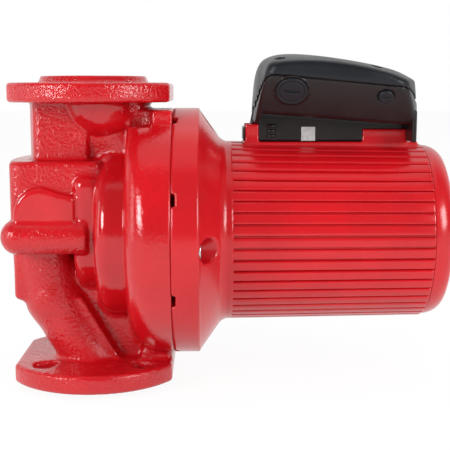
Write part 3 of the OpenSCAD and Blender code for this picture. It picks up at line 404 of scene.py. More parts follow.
def casting_outside(p, fillet, edge):
    x, y, z = p
    side = np.abs(y)
    # drum, ring and nose on the motor axis
    body = drum(p)
    body = join(body, disc(p, RING_X, JOINT_X - 20, 77.5, 13), 2)
    nose = disc(p, NOSE_X, JOINT_X - 20, 53, 10)
    body = join(body, join(nose, shoulder(p), 4), 3)
    # suction chamber with the rib beside the leg, the belt and the dome
    chamber = wedge(p, HOUSING_LOW[0] + 0.5, 9, RING_X + 6, 50, AXIS_Z - 14, AXIS_Z + 67, 9, 4)
    rib = wedge(p, HOUSING_LOW[0] + 0.8, 4, -40, 26, AXIS_Z - 62, AXIS_Z, 8, 5)
    chamber = join(chamber, rib, 5)
    path = np.minimum(np.maximum(BELT_X - x, 0), EMPTY)
    long_arm = crossed(np.sqrt(path ** 2 + (side - BELT_Y) ** 2 + (z - AXIS_Z - 1) ** 2) - BELT_R,
                       x - COLUMN_RIGHT - 1, 2)
    short_arm = np.sqrt((x - BELT_X) ** 2 + np.maximum(side - BELT_Y, 0) ** 2
                        + (z - AXIS_Z - 1) ** 2) - BELT_R
    chamber = join(chamber, dome(p), 1.5)
    chamber = join(chamber, join(long_arm, short_arm, 2), 2.5)
    body = join(body, chamber, 3)
    # discharge column, the wall and the duct to the drum, the bulb under the port, the saddle on the drum
    column = wedge(p, COLUMN_LEFT, COLUMN_SETBACK, COLUMN_RIGHT, COLUMN_HALF_W, AXIS_Z + 40,
                   PORT_TO_PORT - 22, 5, 4)
    wall = block(p, (COLUMN_RIGHT - 12, -22, AXIS_Z + 40), (JOINT_X - 24, 22, AXIS_Z + 96), 4)
    column = join(column, wall, 5)
    column = join(column, bar(p, DUCT_FOOT, DUCT_HEAD, 29), 6)
    top = PORT_TO_PORT - FLANGE_BACK + 1
    bulb = port_bulb(p)
    column = join(column, np.maximum(bulb, z - top), 2)
    pad = block(p, (JOINT_X - 37, -52, AXIS_Z + 60), (JOINT_X + 60, 52, AXIS_Z + DRUM_R - 0.5), 3)
    body = join(join(body, column, fillet), pad, 3)
    # leg, its web and the block under the drum
    leg = join(bar(p, LEG_FOOT, LEG_KNEE, 26, 10), bar(p, LEG_KNEE, LEG_TOP, 26, 10), 6)
    web = crossed(outline(x, z, [(LEG_FOOT[0], FLANGE_BACK - 2), (JOINT_X - 25, FLANGE_BACK - 2),
                                 (40, AXIS_Z - 45), (-30, AXIS_Z - 45)], 2), side - 16, 4)
    leg = join(leg, web, 6)
    # square edge down the right of the leg
    run = (LEG_KNEE[0] - LEG_FOOT[0], LEG_KNEE[2] - LEG_FOOT[2])
    aside = (run[1] * (x - LEG_FOOT[0]) - run[0] * (z - LEG_FOOT[2])) / math.hypot(*run)
    ridge = crossed(np.maximum(aside - 25, 5 - aside), side - 29, 1.5)
    ridge = np.maximum(ridge, span(z, RAISED_H + 2, LEG_KNEE[2] + 4))
    leg = crossed(join(leg, ridge, 3), RAISED_H + 2 - z, 1)
    foot = block(p, (JOINT_X - 31, -30, FLANGE_BACK - 2), (JOINT_X - 3, 30, AXIS_Z - DRUM_R + 6), 4)
    body = join(join(body, leg, 6), foot, 4)
    # port flanges
    body = join(body, flange(p, edge, 0.8, 9.5), 5)
    body = join(body, flange((x, y, PORT_TO_PORT - z), edge, 0.8, 9), 4)
    body = cut(body, nut_rooms(p), 1.5)
    for end, hole_r in ((z, 9.5), (PORT_TO_PORT - z, 9)):
        for circle, radius in ((125, hole_r), (110, 6.5)):
            at = circle / 2 * math.sqrt(0.5)
            hole = np.hypot(np.abs(x) - at, side - at) - radius
            body = cut(body, np.maximum(hole, end - FLANGE_BACK - 5), 0.8)
    return body


def sand_share(p):
    """How much of the sand grain shows: all of it, except on the smooth rounds about the motor axis."""
    x, y, z = p
    smooth = np.abs(drum(p)) + 1
    for near in (disc(p, RING_X, JOINT_X - 20, 77.5, 13), disc(p, NOSE_X, JOINT_X - 20, 53, 10),
                 shoulder(p), dome(p), port_bulb(p)):
        smooth = np.minimum(smooth, np.abs(near))
    return np.clip((smooth - 0.3) / 2, 0.12, 1)


def casting_passages(p):
    x, y, z = p
    knee = LEG_KNEE
    suction = join(pillar(p, 0, 0, -10, 30, 25), bar(p, (0, 0, 24), knee, LEG_BORE_R), 3)
    suction = join(suction, bar(p, knee, (-46, 0, AXIS_Z), LEG_BORE_R), 3)
    eye = crossed(np.hypot(y, z - AXIS_Z) - EYE_R, x - CAVITY_X - 1, 0.01)
    eye = np.maximum(eye, -46 - x)
    suction = join(join(suction, eye, 3), bar(p, (-46, 0, AXIS_Z), (-45, 0, AXIS_Z), EYE_R), 3)
    chamber = wedge(p, HOUSING_LOW[0] + 9.5, 9, NOSE_X + 2, 41, AXIS_Z - 5, AXIS_Z + 58, 6, 5)
    suction = join(suction, chamber, 4)
    seat = disc(p, RING_LOW[0] - 4, CAVITY_X + 1, RING_HIGH[1])
    volute = disc(p, CAVITY_X, JOINT_X + 40, 84)
    stack = disc(p, GASKET_LOW[0], JOINT_X + 40, 90)
    duct = bar(p, DUCT_FOOT, DUCT_HEAD, 20)
    port = pillar(p, 0, 0, PORT_TO_PORT - 30, PORT_TO_PORT + 10, 25)
    column = wedge(p, COLUMN_LEFT + COLUMN_WALL, COLUMN_SETBACK, COLUMN_RIGHT - COLUMN_WALL,
                   COLUMN_HALF_W - COLUMN_WALL, AXIS_Z + 76, PORT_TO_PORT - 27, 6, 4)
    discharge = join(join(duct, port, 3), column, 4)
    wet = np.minimum(np.minimum(suction, seat), np.minimum(np.minimum(volute, stack), discharge))
    threads = EMPTY
    for cy, cz in screw_places():
        threads = np.minimum(threads, pin(p, cy, cz, JOINT_X - 27, JOINT_X + 10, 5))
    return np.minimum(wet, threads)


def screw_places():
    turns = [SCREW_TURN + k * math.pi / 2 for k in range(4)]
    return [(SCREW_CIRCLE_R * math.sin(a), AXIS_Z - SCREW_CIRCLE_R * math.cos(a)) for a in turns]


# ---- motor casing ----

RIM_X = JOINT_X + 23
NECK_X = RIM_X + 20
RIB_X = NECK_X + 9.7
RIB_END_X = RIB_X + 172
BODY_R = SADDLE_Z - AXIS_Z
RIB_DRAFT = 2.5
END_X = PLATE_LOW[0] + 2.6
BORE_R = 71.0
POCKET_X = RIM_X - 8
SADDLE_END_X = RIB_END_X - 4
SKIRT_HALF_W = 17.0
POSTS = ((SKIRT_X + 2, 12, 16), (BOX_X + 101.5, 40, 11.5))  # left end, length, height


def motor_front(p):
    """Bolting rim, cone and neck with the screw pockets and the drain slots."""
    x = p[0]
    r = np.hypot(p[1], p[2] - AXIS_Z)
    slope = (RIM_R - 1 - BODY_R - 1) / (NECK_X - RIM_X)
    cone = (r - RIM_R + 1 + slope * (x - RIM_X)) / math.hypot(1, slope)
    cone = crossed(np.maximum(cone, r - RIM_R + 1), span(x, JOINT_X + 1, NECK_X + 2), 0.5)
    body = join(disc(p, JOINT_X, RIM_X, RIM_R, 1.5), cone, 1.5)
    body = join(body, crossed(r - BODY_R, span(x, JOINT_X + 2, RIB_X), 1.2), 5)
    body = join(body, crossed(r - GASKET_HIGH[1], span(x, REGISTER_X, JOINT_X + 3), 0.3), 0.5)
    angle = np.arctan2(p[1], p[2] - AXIS_Z)
    eighth = np.pi / 4
    slot_angle = np.mod(angle + SCREW_TURN, eighth) - eighth / 2
    slot = np.maximum(np.abs(r * np.sin(slot_angle)) - 5.5, x - JOINT_X - 3.4)
    body = cut(body, np.maximum(slot, 91 - r), 0.3)
    for cy, cz in screw_places():
        body = cut(body, pin(p, cy, cz, POCKET_X, RIM_X + 60, 10.5), 1.2)
        body = cut(body, pin(p, cy, cz, JOINT_X - 5, RIM_X, 5.5), 0.3)
    return cut(body, r - BORE_R, 0.5)


def barrel_profile():
    """Loop of (x, radius) points: the floor of the grooves, the smooth end and the inside."""
    floor_r, end_floor_r = BODY_R - 3, BODY_R - 3 - RIB_DRAFT
    cap_r = BODY_R - RIB_DRAFT - 1.2
    corner, end_len = 18.0, END_X - RIB_END_X
    face_r = cap_r - corner * 0.6
    sag = end_len - corner
    big_r = (face_r ** 2 + sag ** 2) / (2 * sag)
    recess_r = PLATE_HIGH[1] + 0.2
    loop = [(RIB_X - 5, floor_r), (RIB_END_X - 0.4, end_floor_r), (RIB_END_X + 0.1, end_floor_r + 0.3),
            (RIB_END_X + 0.6, cap_r - 0.7), (RIB_END_X + 1.3, cap_r)]
    for k in range(1, 13):
        a = math.radians(80 * k / 12)
        loop.append((RIB_END_X + 1.3 + (corner - 1.3) * math.sin(a), face_r + (cap_r - face_r) * math.cos(a)))
    for k in range(14, 0, -1):
        q = recess_r + 0.8 + (face_r - recess_r) * k / 15
        loop.append((END_X - big_r + math.sqrt(big_r ** 2 - q ** 2), q))
    edge_x = END_X - big_r + math.sqrt(big_r ** 2 - recess_r ** 2)
    loop += [(edge_x, recess_r + 0.4), (edge_x - 0.3, recess_r), (END_X - 2.6, recess_r), (END_X - 2.6, 0)]
    inside = [(END_X - 10, 0), (END_X - 10, BORE_R - 18), (RIB_END_X + 3, BORE_R - 18),
              (RIB_END_X + 3, BORE_R), (RIB_X - 5, BORE_R)]
    return loop, inside


def barrel():
    outer, inside = barrel_profile()
    return crease(outward(turned_shell("motor_barrel", outer + inside, 250)), 35)


def turned_shell(name, profile, steps):
    """Body turned about the motor axis from a loop that touches the axis twice, closed by fans there."""
    points, rings = [], []
    for x, r in profile:
        rings.append([len(points) + (k if r else 0) for k in range(steps)])
        for k in range(steps if r else 1):
            a = 2 * math.pi * (k + 0.5) / steps
            points.append((x, r * math.sin(a), AXIS_Z + r * math.cos(a)))
    faces = []
    for i, a in enumerate(rings):
        b = rings[(i + 1) % len(rings)]
        if profile[i][1] == 0 and profile[(i + 1) % len(rings)][1] == 0:
            continue
        for k in range(steps):
            j = (k + 1) % steps
            face = list(dict.fromkeys((a[k], b[k], b[j], a[j])))
            if len(face) > 2:
                faces.append(face)
    return as_object(name, points, faces)


def rib_template(groove_w, groove_depth, count):
    """One cooling rib drawn around the motor axis at the origin, with its top up and its ends rounded."""
    half = (BODY_R * 2 * math.pi / count - groove_w) / 2
    section = [(-1.0, -1.2), (-1.0, -0.25), (-0.985, 0.35), (-0.94, 0.72), (-0.84, 0.93), (-0.68, 1.0),
               (-0.34, 1.0), (0, 1.0), (0.34, 1.0), (0.68, 1.0), (0.84, 0.93), (0.94, 0.72), (0.985, 0.35),
               (1.0, -0.25), (1.0, -1.2)]
    stations = [(0.0, 1.0)] + [(k / 10, 1.0) for k in range(1, 10)]
    stations += [(0.988, 1.0), (0.993, 0.93), (0.9965, 0.75), (0.999, 0.4), (1.0, -0.2)]
    x0, x1 = RIB_X - 2.5, RIB_END_X + 1.2
    points, faces = [], []
    for part, height in stations:
        x = x0 + (x1 - x0) * part
        top = BODY_R - 0.06 - RIB_DRAFT * max(0, (x - RIB_X) / (RIB_END_X - RIB_X))
        width = half * (1 if height > 0.9 else 0.93)
        for across, rise in section:
            level = min(rise, height) * groove_depth if rise > 0 else rise
            t = across * width
            bow = math.sqrt(top ** 2 - t ** 2) - top
            points.append((x, t, top - groove_depth + level + bow))
    n = len(section)
    for i in range(len(stations) - 1):
        for k in range(n):
            j = (k + 1) % n
            faces.append((i * n + k, i * n + j, (i + 1) * n + j, (i + 1) * n + k))
    faces.append(tuple(range(n)))
    faces.append(tuple(range(len(points) - 1, len(points) - n - 1, -1)))
    return outward(as_object("rib_template", points, faces))


def saddle(p):
    """Flat seat along the crest with the four posts that hold the terminal box."""
    body = block(p, (SKIRT_X, -18, SADDLE_Z - 16), (SADDLE_END_X, 18, SADDLE_Z), 0.8)
    side = np.abs(p[1])
    for x0, length, height in POSTS:
        flare = 0.5 * np.clip((SADDLE_Z + 5 - p[2]) / 5, 0, 1)
        post = block((p[0], side, p[2]), (x0 - 0, 12, SADDLE_Z - 6), (x0 + length, SKIRT_HALF_W + 0.3,
                     SADDLE_Z + height), 1.2) - flare
        body = join(body, post, 1.5)
    return body


# ---- terminal box, in a frame that falls towards the motor's end ----

LOW_W = 26.5             # height of the tub's lower edge above the saddle
HALF_W = 65.0
LOW_HALF_W = 40.0
FLARE_RISE = 33.0
SEAM_H = 60.5
CROWN_H = 83.0
CROWN_AT = 58.5
ARCH_R = 245.0
CROSS_R = 260.0
WALL = 3.0
FLOOR_T = 3.0
SKIRT_END_X = BOX_X + BOX_LEN - 11


def tilted(p):
    """Point along, across and above the box's own frame."""
    c, s = math.cos(BOX_TILT), math.sin(BOX_TILT)
    x, z = p[0] - BOX_X, p[2] - SADDLE_Z
    return x * c - z * s, p[1], x * s + z * c


def hull(u, v, w, edge):
    """Closed outside of tub and lid together."""
    side = np.abs(v)
    bowed = u + v ** 2 * np.interp(u, (35, 115), (-1 / 700, 1 / 220))
    ends = outline(bowed, w, [(0, 0), (BOX_LEN + 2, 0), (BOX_LEN - 1.5, 40), (BOX_LEN - 2.7, 50),
                              (BOX_LEN - 7, 66), (BOX_LEN - 24, 76), (22, CROWN_H + 1), (10, 77.5),
                              (4.4, 72.2), (1.8, 66.5), (0, 57)], 2)
    walls = crossed(ends, side - HALF_W, 8)
    flare = ((side - LOW_HALF_W) * FLARE_RISE - (w - LOW_W) * (HALF_W - LOW_HALF_W)) / math.hypot(
        FLARE_RISE, HALF_W - LOW_HALF_W)
    walls = keep(walls, flare, 3)
    arch = np.sqrt(np.maximum(ARCH_R ** 2 - (u - CROWN_AT) ** 2, 1)) - ARCH_R
    crown = np.hypot(v, w - CROWN_H + CROSS_R) - CROSS_R - arch
    floor = LOW_W - 9.5 * np.clip((8 - u) / 3, 0, 1)
    return keep(keep(walls, crown, edge), floor - w, 2.5)


def seam(u, w):
    """Signed distance above the line where the lid meets the tub."""
    end_h = SEAM_H - 0.013 * BOX_LEN
    line = [(-8, SEAM_H - 48), (-1, SEAM_H - 46), (0, SEAM_H - 42), (1, SEAM_H - 34), (2.5, SEAM_H - 23),
            (4, SEAM_H - 14), (6, SEAM_H - 6), (8, SEAM_H - 3), (11, SEAM_H - 1), (15, SEAM_H),
            (BOX_LEN - 26, end_h), (BOX_LEN - 21, end_h - 1.2), (BOX_LEN - 16, end_h - 4),
            (BOX_LEN - 12, end_h - 8), (BOX_LEN - 8, end_h - 12), (BOX_LEN + 8, end_h - 12)]
    near = EMPTY
    for (ax, ay), (bx, by) in zip(line, line[1:]):
        run = (bx - ax) ** 2 + (by - ay) ** 2
        t = np.clip(((u - ax) * (bx - ax) + (w - ay) * (by - ay)) / run, 0, 1)
        near = np.minimum(near, np.hypot(u - ax - t * (bx - ax), w - ay - t * (by - ay)))
    return np.copysign(near, w - np.interp(u, [spot[0] for spot in line], [spot[1] for spot in line]))


def lid_screw_places():
    x0, x1 = LID_SCREWS_LOW[0] + 4, LID_SCREWS_HIGH[0] - 4
    return [(x, y) for x in (x0, x1) for y in (LID_SCREWS_LOW[1] + 4, LID_SCREWS_HIGH[1] - 4)]


def lid(p, edge, gap):
    u, v, w = tilted(p)
    outside = hull(u, v, w, edge)
    posts = EMPTY
    for cx, cy in lid_screw_places():
        posts = np.minimum(posts, np.hypot(p[0] - cx, p[1] - cy) - 5)
    inside = np.maximum(outside + WALL, -posts)
    body = keep(cut(outside, inside, 0.3), gap - seam(u, w), 1)
    for node_x, (cx, cy) in enumerate(lid_screw_places()):
        seat = lid_seat(cx)
        well = np.maximum(np.hypot(p[0] - cx, p[1] - cy) - 4.5, seat - p[2])
        body = cut(cut(body, well, 0.8), np.hypot(p[0] - cx, p[1] - cy) - 2.25, 0.3)
    return body


def lid_seat(x):
    """Height of the floor of a lid screw's well."""
    arch = math.sqrt(ARCH_R ** 2 - (x - BOX_X - CROWN_AT) ** 2) - ARCH_R + CROWN_H
    tilted_z = SADDLE_Z + arch * math.cos(BOX_TILT) - (x - BOX_X) * math.sin(BOX_TILT)
    return min(tilted_z, SADDLE_Z + CROWN_H - 6) - 8


def flare_frame(along, rise):
    """Frame on the tub's flared front side, its Z pointing out of the side."""
    lean = math.atan((HALF_W - LOW_HALF_W) / FLARE_RISE)
    place = Matrix.Translation((BOX_X, 0, SADDLE_Z)) @ Matrix.Rotation(BOX_TILT, 4, "Y")
    spot = Matrix.Translation((along, -LOW_HALF_W - rise * (HALF_W - LOW_HALF_W), LOW_W + rise * FLARE_RISE))
    return place @ spot @ Matrix.Rotation(math.pi / 2 + lean, 4, "X")


LARGE_PLUG = flare_frame(30, 0.66)
SMALL_PLUG = flare_frame(111, 0.68)


def into(frame_matrix, p):
    """Points in a local frame."""
    m = np.array(frame_matrix.inverted())
    return [m[i, 0] * p[0] + m[i, 1] * p[1] + m[i, 2] * p[2] + m[i, 3] for i in range(3)]


def post_room(p, grow):
    side = np.abs(p[1])
    room = EMPTY
    for x0, length, height in POSTS:
        room = np.minimum(room, block((p[0], side, p[2]), (x0 - grow, 12 - grow, SADDLE_Z - 4),
                                      (x0 + length + grow, SKIRT_HALF_W + 8, SADDLE_Z + height + grow), 0.6))
    return room


def skirt(p, w):
    top = SADDLE_Z + LOW_W
    body = block(p, (SKIRT_X + w, -SKIRT_HALF_W + w, SADDLE_Z + (FLOOR_T if w else 0)),
                 (SKIRT_END_X - w, SKIRT_HALF_W - w, top - 4), 3 if w == 0 else 0.5)
    rise = block(p, (BOX_X + w, -SKIRT_HALF_W + w, SADDLE_Z + (FLOOR_T if w else 0)),
                 (BOX_X + 100 - w, SKIRT_HALF_W - w, top + 6), 3 if w == 0 else 0.5)
    return np.minimum(body, rise)


def tub(p, edge):
    u, v, w = tilted(p)
    outside = hull(u, v, w, edge) + 0.5
    whole = join(outside, skirt(p, 0), 1.5)
    inside = np.minimum(outside + WALL, skirt(p, WALL))
    inside = np.maximum(inside, -post_room(p, WALL))
    for cx, cy in lid_screw_places():
        inside = np.maximum(inside, 5 - np.hypot(p[0] - cx, p[1] - cy))
    body = cut(whole, inside, 0.3)
    body = cut(body, post_room(p, 0.2), 0.3)
    lip = np.maximum(np.maximum(outside + WALL, -outside - WALL - 1.6), seam(u, w) - 2.5)
    body = np.minimum(keep(body, seam(u, w), 1), lip)
    for cx, cy in lid_screw_places():
        body = cut(body, np.maximum(np.hypot(p[0] - cx, p[1] - cy) - 1.75, SADDLE_Z + 40 - p[2]), 0.1)
    wall = block(p, (SKIRT_END_X + 0.5, -45, SADDLE_Z + 1), (SKIRT_END_X + 4.5, 45, SADDLE_Z + LOW_W + 2), 1)
    body = join(body, wall, 1)
    lead_x = (GROMMET_LOW[0] + GROMMET_HIGH[0]) / 2
    body = cut(body, pillar(p, lead_x, 0, SADDLE_Z - 5, SADDLE_Z + 4, 6.5), 0.2)
    q = into(LARGE_PLUG, p)
    rim = crossed(np.hypot(q[0], q[1]) - 15.2, span(q[2], -2, 0.7), 0.6)
    body = join(body, rim, 0.6)
    body = cut(body, crossed(np.hypot(q[0], q[1]) - 14.1, -0.4 - q[2], 0.2), 0.3)
    body = cut(body, np.maximum(np.hypot(q[0], q[1]) - 11, np.abs(q[2]) - 8), 0.2)
    q = into(SMALL_PLUG, p)
    body = cut(body, np.maximum(np.hypot(q[0], q[1]) - 7.5, np.maximum(-1 - q[2], q[2] - 8)), 0.4)
    return cut(body, np.maximum(np.hypot(q[0], q[1]) - 6, np.abs(q[2]) - 8), 0.2)


def moved(piece, matrix):
    """Puts a piece drawn in its own frame, in millimetres, into place."""
    scale = Matrix.Scale(1 / MM, 4)
    piece.data.transform(scale.inverted() @ matrix @ scale)
    return piece


def large_plug(p):
    r = np.hypot(p[0], p[1])
    head = crossed(r - 13.8, span(p[2], -0.3, 2.2), 0.9)
    head = cut(head, np.maximum(np.abs(r - 10.6) - 0.35, 1.75 - p[2]), 0.3)
    shank = crossed(r - 10.8, span(p[2], -8, 0.4), 0.5)
    slot = block(p, (-7, -0.9, 0.9), (7, 0.9, 6), 0.3)
    return cut(join(head, shank, 0.4), slot, 0.5)


def small_plug(p):
    r = np.hypot(p[0], p[1])
    head = crossed(r - 7.2 + 0.45 * np.clip(p[2] + 1, 0, 3), span(p[2], -1, 1.4), 0.6)
    shank = crossed(r - 5.9, span(p[2], -8, -0.5), 0.4)
    slot = block(p, (-4, -0.55, 0.4), (4, 0.55, 5), 0.2)
    return cut(join(head, shank, 0.3), slot, 0.3)


def socket_screw():
    """Socket-head cap screw drawn along X from the underside of its head, on the screw circle."""
    head_r, head_h, socket_r, shank_r, length = 8.0, 10.0, 4.6, 5.0, 38.0
    profile = [(-length, 0, 0), (-length, shank_r - 1, 0), (-length + 1.2, shank_r, 0), (0, shank_r, 0),
               (0, head_r - 0.5, 0), (0.5, head_r, 0), (head_h - 1, head_r, 0),
               (head_h - 0.3, head_r - 0.35, 0), (head_h, head_r - 1, 0), (head_h, socket_r + 0.9, 0),
               (head_h - 0.6, socket_r, 1),
               (head_h - 5, socket_r, 1), (head_h - 6.4, 0, 0)]
    steps = 48
    points, rings = [], []
    for x, r, hexed in profile:
        rings.append([len(points) + (k if r else 0) for k in range(steps)])
        for k in range(steps if r else 1):
            a = 2 * math.pi * k / steps
            near = (a % (math.pi / 3)) - math.pi / 6
            reach = r * (math.cos(math.pi / 6) / math.cos(near) if hexed else 1)
            points.append((x, reach * math.sin(a), SCREW_CIRCLE_R + reach * math.cos(a)))
    faces = []
    for a, b in zip(rings, rings[1:]):
        for k in range(steps):
            j = (k + 1) % steps
            face = list(dict.fromkeys((a[k], b[k], b[j], a[j])))
            if len(face) > 2:
                faces.append(face)
    return crease(outward(as_object("screw_template", points, faces)), 35)


# ---- finishes ----

def group_tree(name, inputs, outputs):
    tree = bpy.data.node_groups.new(name, "ShaderNodeTree")
    for socket, kind in inputs:
        tree.interface.new_socket(socket, in_out="INPUT", socket_type="NodeSocket" + kind)
    for socket, kind in outputs:
        tree.interface.new_socket(socket, in_out="OUTPUT", socket_type="NodeSocket" + kind)
    return tree, tree.nodes.new("NodeGroupInput"), tree.nodes.new("NodeGroupOutput")


def math_node(tree, operation, a, b):
    node = tree.nodes.new("ShaderNodeMath")
    node.operation = operation
    for socket, value in zip(node.inputs, (a, b)):
        if isinstance(value, (int, float)):
            socket.default_value = value
        else:
            tree.links.new(value, socket)
    return node.outputs[0]


def noise_node(tree, coords, scale, detail, roughness):
    node = tree.nodes.new("ShaderNodeTexNoise")
    tree.links.new(coords, node.inputs["Vector"])
    if isinstance(scale, (int, float)):
        node.inputs["Scale"].default_value = scale
    else:
        tree.links.new(scale, node.inputs["Scale"])
    node.inputs["Detail"].default_value = detail
    node.inputs["Roughness"].default_value = roughness
    return node.outputs["Fac"]


def cast_grain_group():
    """Sand-cast skin: a coarse and a fine grain, and a mask of the grain's hollows where shade is painted
    into the colour.
    """
    tree, given, result = group_tree("Cast grain", [("Place", "Vector"), ("Grain Scale", "Float"),
                                                    ("Fine Share", "Float")],
                                     [("Height", "Float"), ("Painted Hollow Shade", "Float")])
    coarse = noise_node(tree, given.outputs["Place"], given.outputs["Grain Scale"], 2.0, 0.5)
    fine_scale = math_node(tree, "MULTIPLY", given.outputs["Grain Scale"], 3.1)
    fine = noise_node(tree, given.outputs["Place"], fine_scale, 1.0, 0.5)
    fine = math_node(tree, "MULTIPLY", fine, given.outputs["Fine Share"])
    height = math_node(tree, "ADD", coarse, fine)
    tree.links.new(height, result.inputs["Height"])
    # mask for painted shade: one where the coarse grain is low
    hollow_shade_map = tree.nodes.new("ShaderNodeMapRange")
    hollow_shade_map.inputs["From Min"].default_value = 0.52
    hollow_shade_map.inputs["From Max"].default_value = 0.3
    tree.links.new(coarse, hollow_shade_map.inputs["Value"])
    tree.links.new(hollow_shade_map.outputs[0], result.inputs["Painted Hollow Shade"])
    return tree


def tone_group():
    """Colour that drifts softly between two tones."""
    tree, given, result = group_tree("Drifting tone", [("Place", "Vector"), ("Tone", "Color"),
                                                       ("Second Tone", "Color"), ("Patch Scale", "Float")],
                                     [("Color", "Color"), ("Patches", "Float")])
    noise = noise_node(tree, given.outputs["Place"], given.outputs["Patch Scale"], 3.0, 0.6)
    spread = tree.nodes.new("ShaderNodeMapRange")
    spread.inputs["From Min"].default_value = 0.35
    spread.inputs["From Max"].default_value = 0.65
    tree.links.new(noise, spread.inputs["Value"])
    mix = tree.nodes.new("ShaderNodeMix")
    mix.data_type = "RGBA"
    tree.links.new(spread.outputs[0], mix.inputs["Factor"])
    tree.links.new(given.outputs["Tone"], mix.inputs[6])
    tree.links.new(given.outputs["Second Tone"], mix.inputs[7])
    tree.links.new(mix.outputs[2], result.inputs["Color"])
    tree.links.new(spread.outputs[0], result.inputs["Patches"])
    return tree


def lines_group():
    """Fine turning or brushing lines: noise squeezed along one direction."""
    tree, given, result = group_tree("Fine lines", [("Place", "Vector"), ("Squeeze", "Vector")],
                                     [("Height", "Float")])
    scale = tree.nodes.new("ShaderNodeMapping")
    tree.links.new(given.outputs["Place"], scale.inputs["Vector"])
    tree.links.new(given.outputs["Squeeze"], scale.inputs["Scale"])
    tree.links.new(noise_node(tree, scale.outputs[0], 1.0, 3.0, 0.6), result.inputs["Height"])
    return tree


def mirrored_ray(tree, ray):
    """One on a ray that comes off a glossy or through a clear surface, else nought."""
    return math_node(tree, "MAXIMUM", ray.outputs["Is Glossy Ray"], ray.outputs["Is Transmission Ray"])


def placed_group(material, name, **values):
    node = material.node_tree.nodes.new("ShaderNodeGroup")
    node.node_tree = bpy.data.node_groups[name]
    for key, value in values.items():
        node.inputs[key.replace("_", " ")].default_value = value
    return node


def finish_named(name):
    return bpy.data.materials[name + "_finish"]


def rgba(colour):
    return (colour[0], colour[1], colour[2], 1.0)


def finish(name, tone, second, roughness, swing=0.06, metallic=0.0, coat=0.0, coat_roughness=0.05, patch=30.0,
           grain=400.0, fine=0.3, depth=0.0, lines=None, line_depth=0.0, hollow_shade_tone=None, ior=1.5,
           share=None):
    """A procedural finish; depths are in metres, scales in repeats per metre."""
    material = bpy.data.materials.new(name + "_finish")
    material.use_nodes = True
    tree = material.node_tree
    link = tree.links.new
    shader = tree.nodes["Principled BSDF"]
    shader.inputs["Metallic"].default_value = metallic
    shader.inputs["IOR"].default_value = ior
    shader.inputs["Coat Weight"].default_value = coat
    shader.inputs["Coat Roughness"].default_value = coat_roughness
    place = tree.nodes.new("ShaderNodeTexCoord").outputs["Object"]
    drift = placed_group(material, "Drifting tone", Tone=rgba(tone), Second_Tone=rgba(second),
                         Patch_Scale=patch)
    link(place, drift.inputs["Place"])
    colour = drift.outputs["Color"]
    skin_group = placed_group(material, "Cast grain", Grain_Scale=grain, Fine_Share=fine)
    link(place, skin_group.inputs["Place"])
    # painted shade: the colour darkens in the grain's hollows
    if hollow_shade_tone is not None:
        mix = tree.nodes.new("ShaderNodeMix")
        mix.data_type = "RGBA"
        link(skin_group.outputs["Painted Hollow Shade"], mix.inputs["Factor"])
        link(colour, mix.inputs[6])
        mix.inputs[7].default_value = rgba(hollow_shade_tone)
        colour = mix.outputs[2]
    link(colour, shader.inputs["Base Color"])
    rough = tree.nodes.new("ShaderNodeMapRange")
    rough.inputs["To Min"].default_value = roughness - swing
    rough.inputs["To Max"].default_value = roughness + swing
    link(drift.outputs["Patches"], rough.inputs["Value"])
    link(rough.outputs[0], shader.inputs["Roughness"])
    normal = None
    for height, reach in ((skin_group.outputs["Height"], depth), (lines, line_depth)):
        if not reach:
            continue
        if height is lines:
            brushed = placed_group(material, "Fine lines", Squeeze=lines)
            link(place, brushed.inputs["Place"])
            height = brushed.outputs["Height"]
        elif share:
            weight = tree.nodes.new("ShaderNodeAttribute")
            weight.attribute_name = share
            height = math_node(tree, "MULTIPLY", height, weight.outputs["Fac"])
        bump = tree.nodes.new("ShaderNodeBump")
        bump.inputs["Distance"].default_value = reach
        link(height, bump.inputs["Height"])
        if normal is not None:
            link(normal, bump.inputs["Normal"])
        normal = bump.outputs[0]
    if normal is not None:
        link(normal, shader.inputs["Normal"])
    return material


NODE_FINISHES = {
    "stainless": ("neck_ring", "impeller", "impeller_nut", "bearing_plate", "rotor_can", "split_cone",
                  "shaft"),
    "steel": ("lid_screws", "box_screws"),
    "laminations": ("rotor_core", "stator_core"),
    "rotor_aluminium": ("rotor_end_rings", "rating_plate"),
    "copper": ("stator_windings",),
    "ceramic": ("front_bearing", "rear_bearing"),
    "carbon": ("thrust_bearing",),
    "rubber": ("housing_gasket", "can_seal", "lid_gasket", "lead_grommet"),
    "light_plastic": ("terminal_block",),
    "knob_plastic": ("speed_knob",),
    "black_plastic": ("speed_module",),
    "brass": ("terminal_screws",),
    "capacitor_shell": ("run_capacitor",),
    "label_film": ("box_label",),
    "lead_sleeve": ("winding_leads",),
}


# ---- settings ----

class CirculatorCasting(bpy.types.PropertyGroup):
    fillet: bpy.props.FloatProperty(name="Fillet", default=4.0, min=1.0, max=12.0,
                                    description="Fillet between the masses of the pump casting, in mm")
    flange_edge: bpy.props.FloatProperty(name="Flange Edge", default=3.4, min=1.0, max=5.0,
                                         description="Rounding of the flange edges, in mm")
    grid: bpy.props.FloatProperty(name="Grid", default=1.9, min=1.5, max=4.0,
                                  description="Cell size of the skin over the casting, in mm")


class CirculatorMotor(bpy.types.PropertyGroup):
    rib_count: bpy.props.IntProperty(name="Ribs", default=50, min=30, max=70,
                                     description="Number of cooling ribs around the motor")
    groove_width: bpy.props.FloatProperty(name="Groove Width", default=1.6, min=1.0, max=5.0,
                                          description="Width of the groove between two ribs, in mm")
    groove_depth: bpy.props.FloatProperty(name="Groove Depth", default=2.6, min=1.0, max=5.0,
                                          description="Depth of the grooves, in mm")
    grid: bpy.props.FloatProperty(name="Grid", default=1.7, min=1.2, max=4.0,
                                  description="Cell size of the skin over rim and cone, in mm")


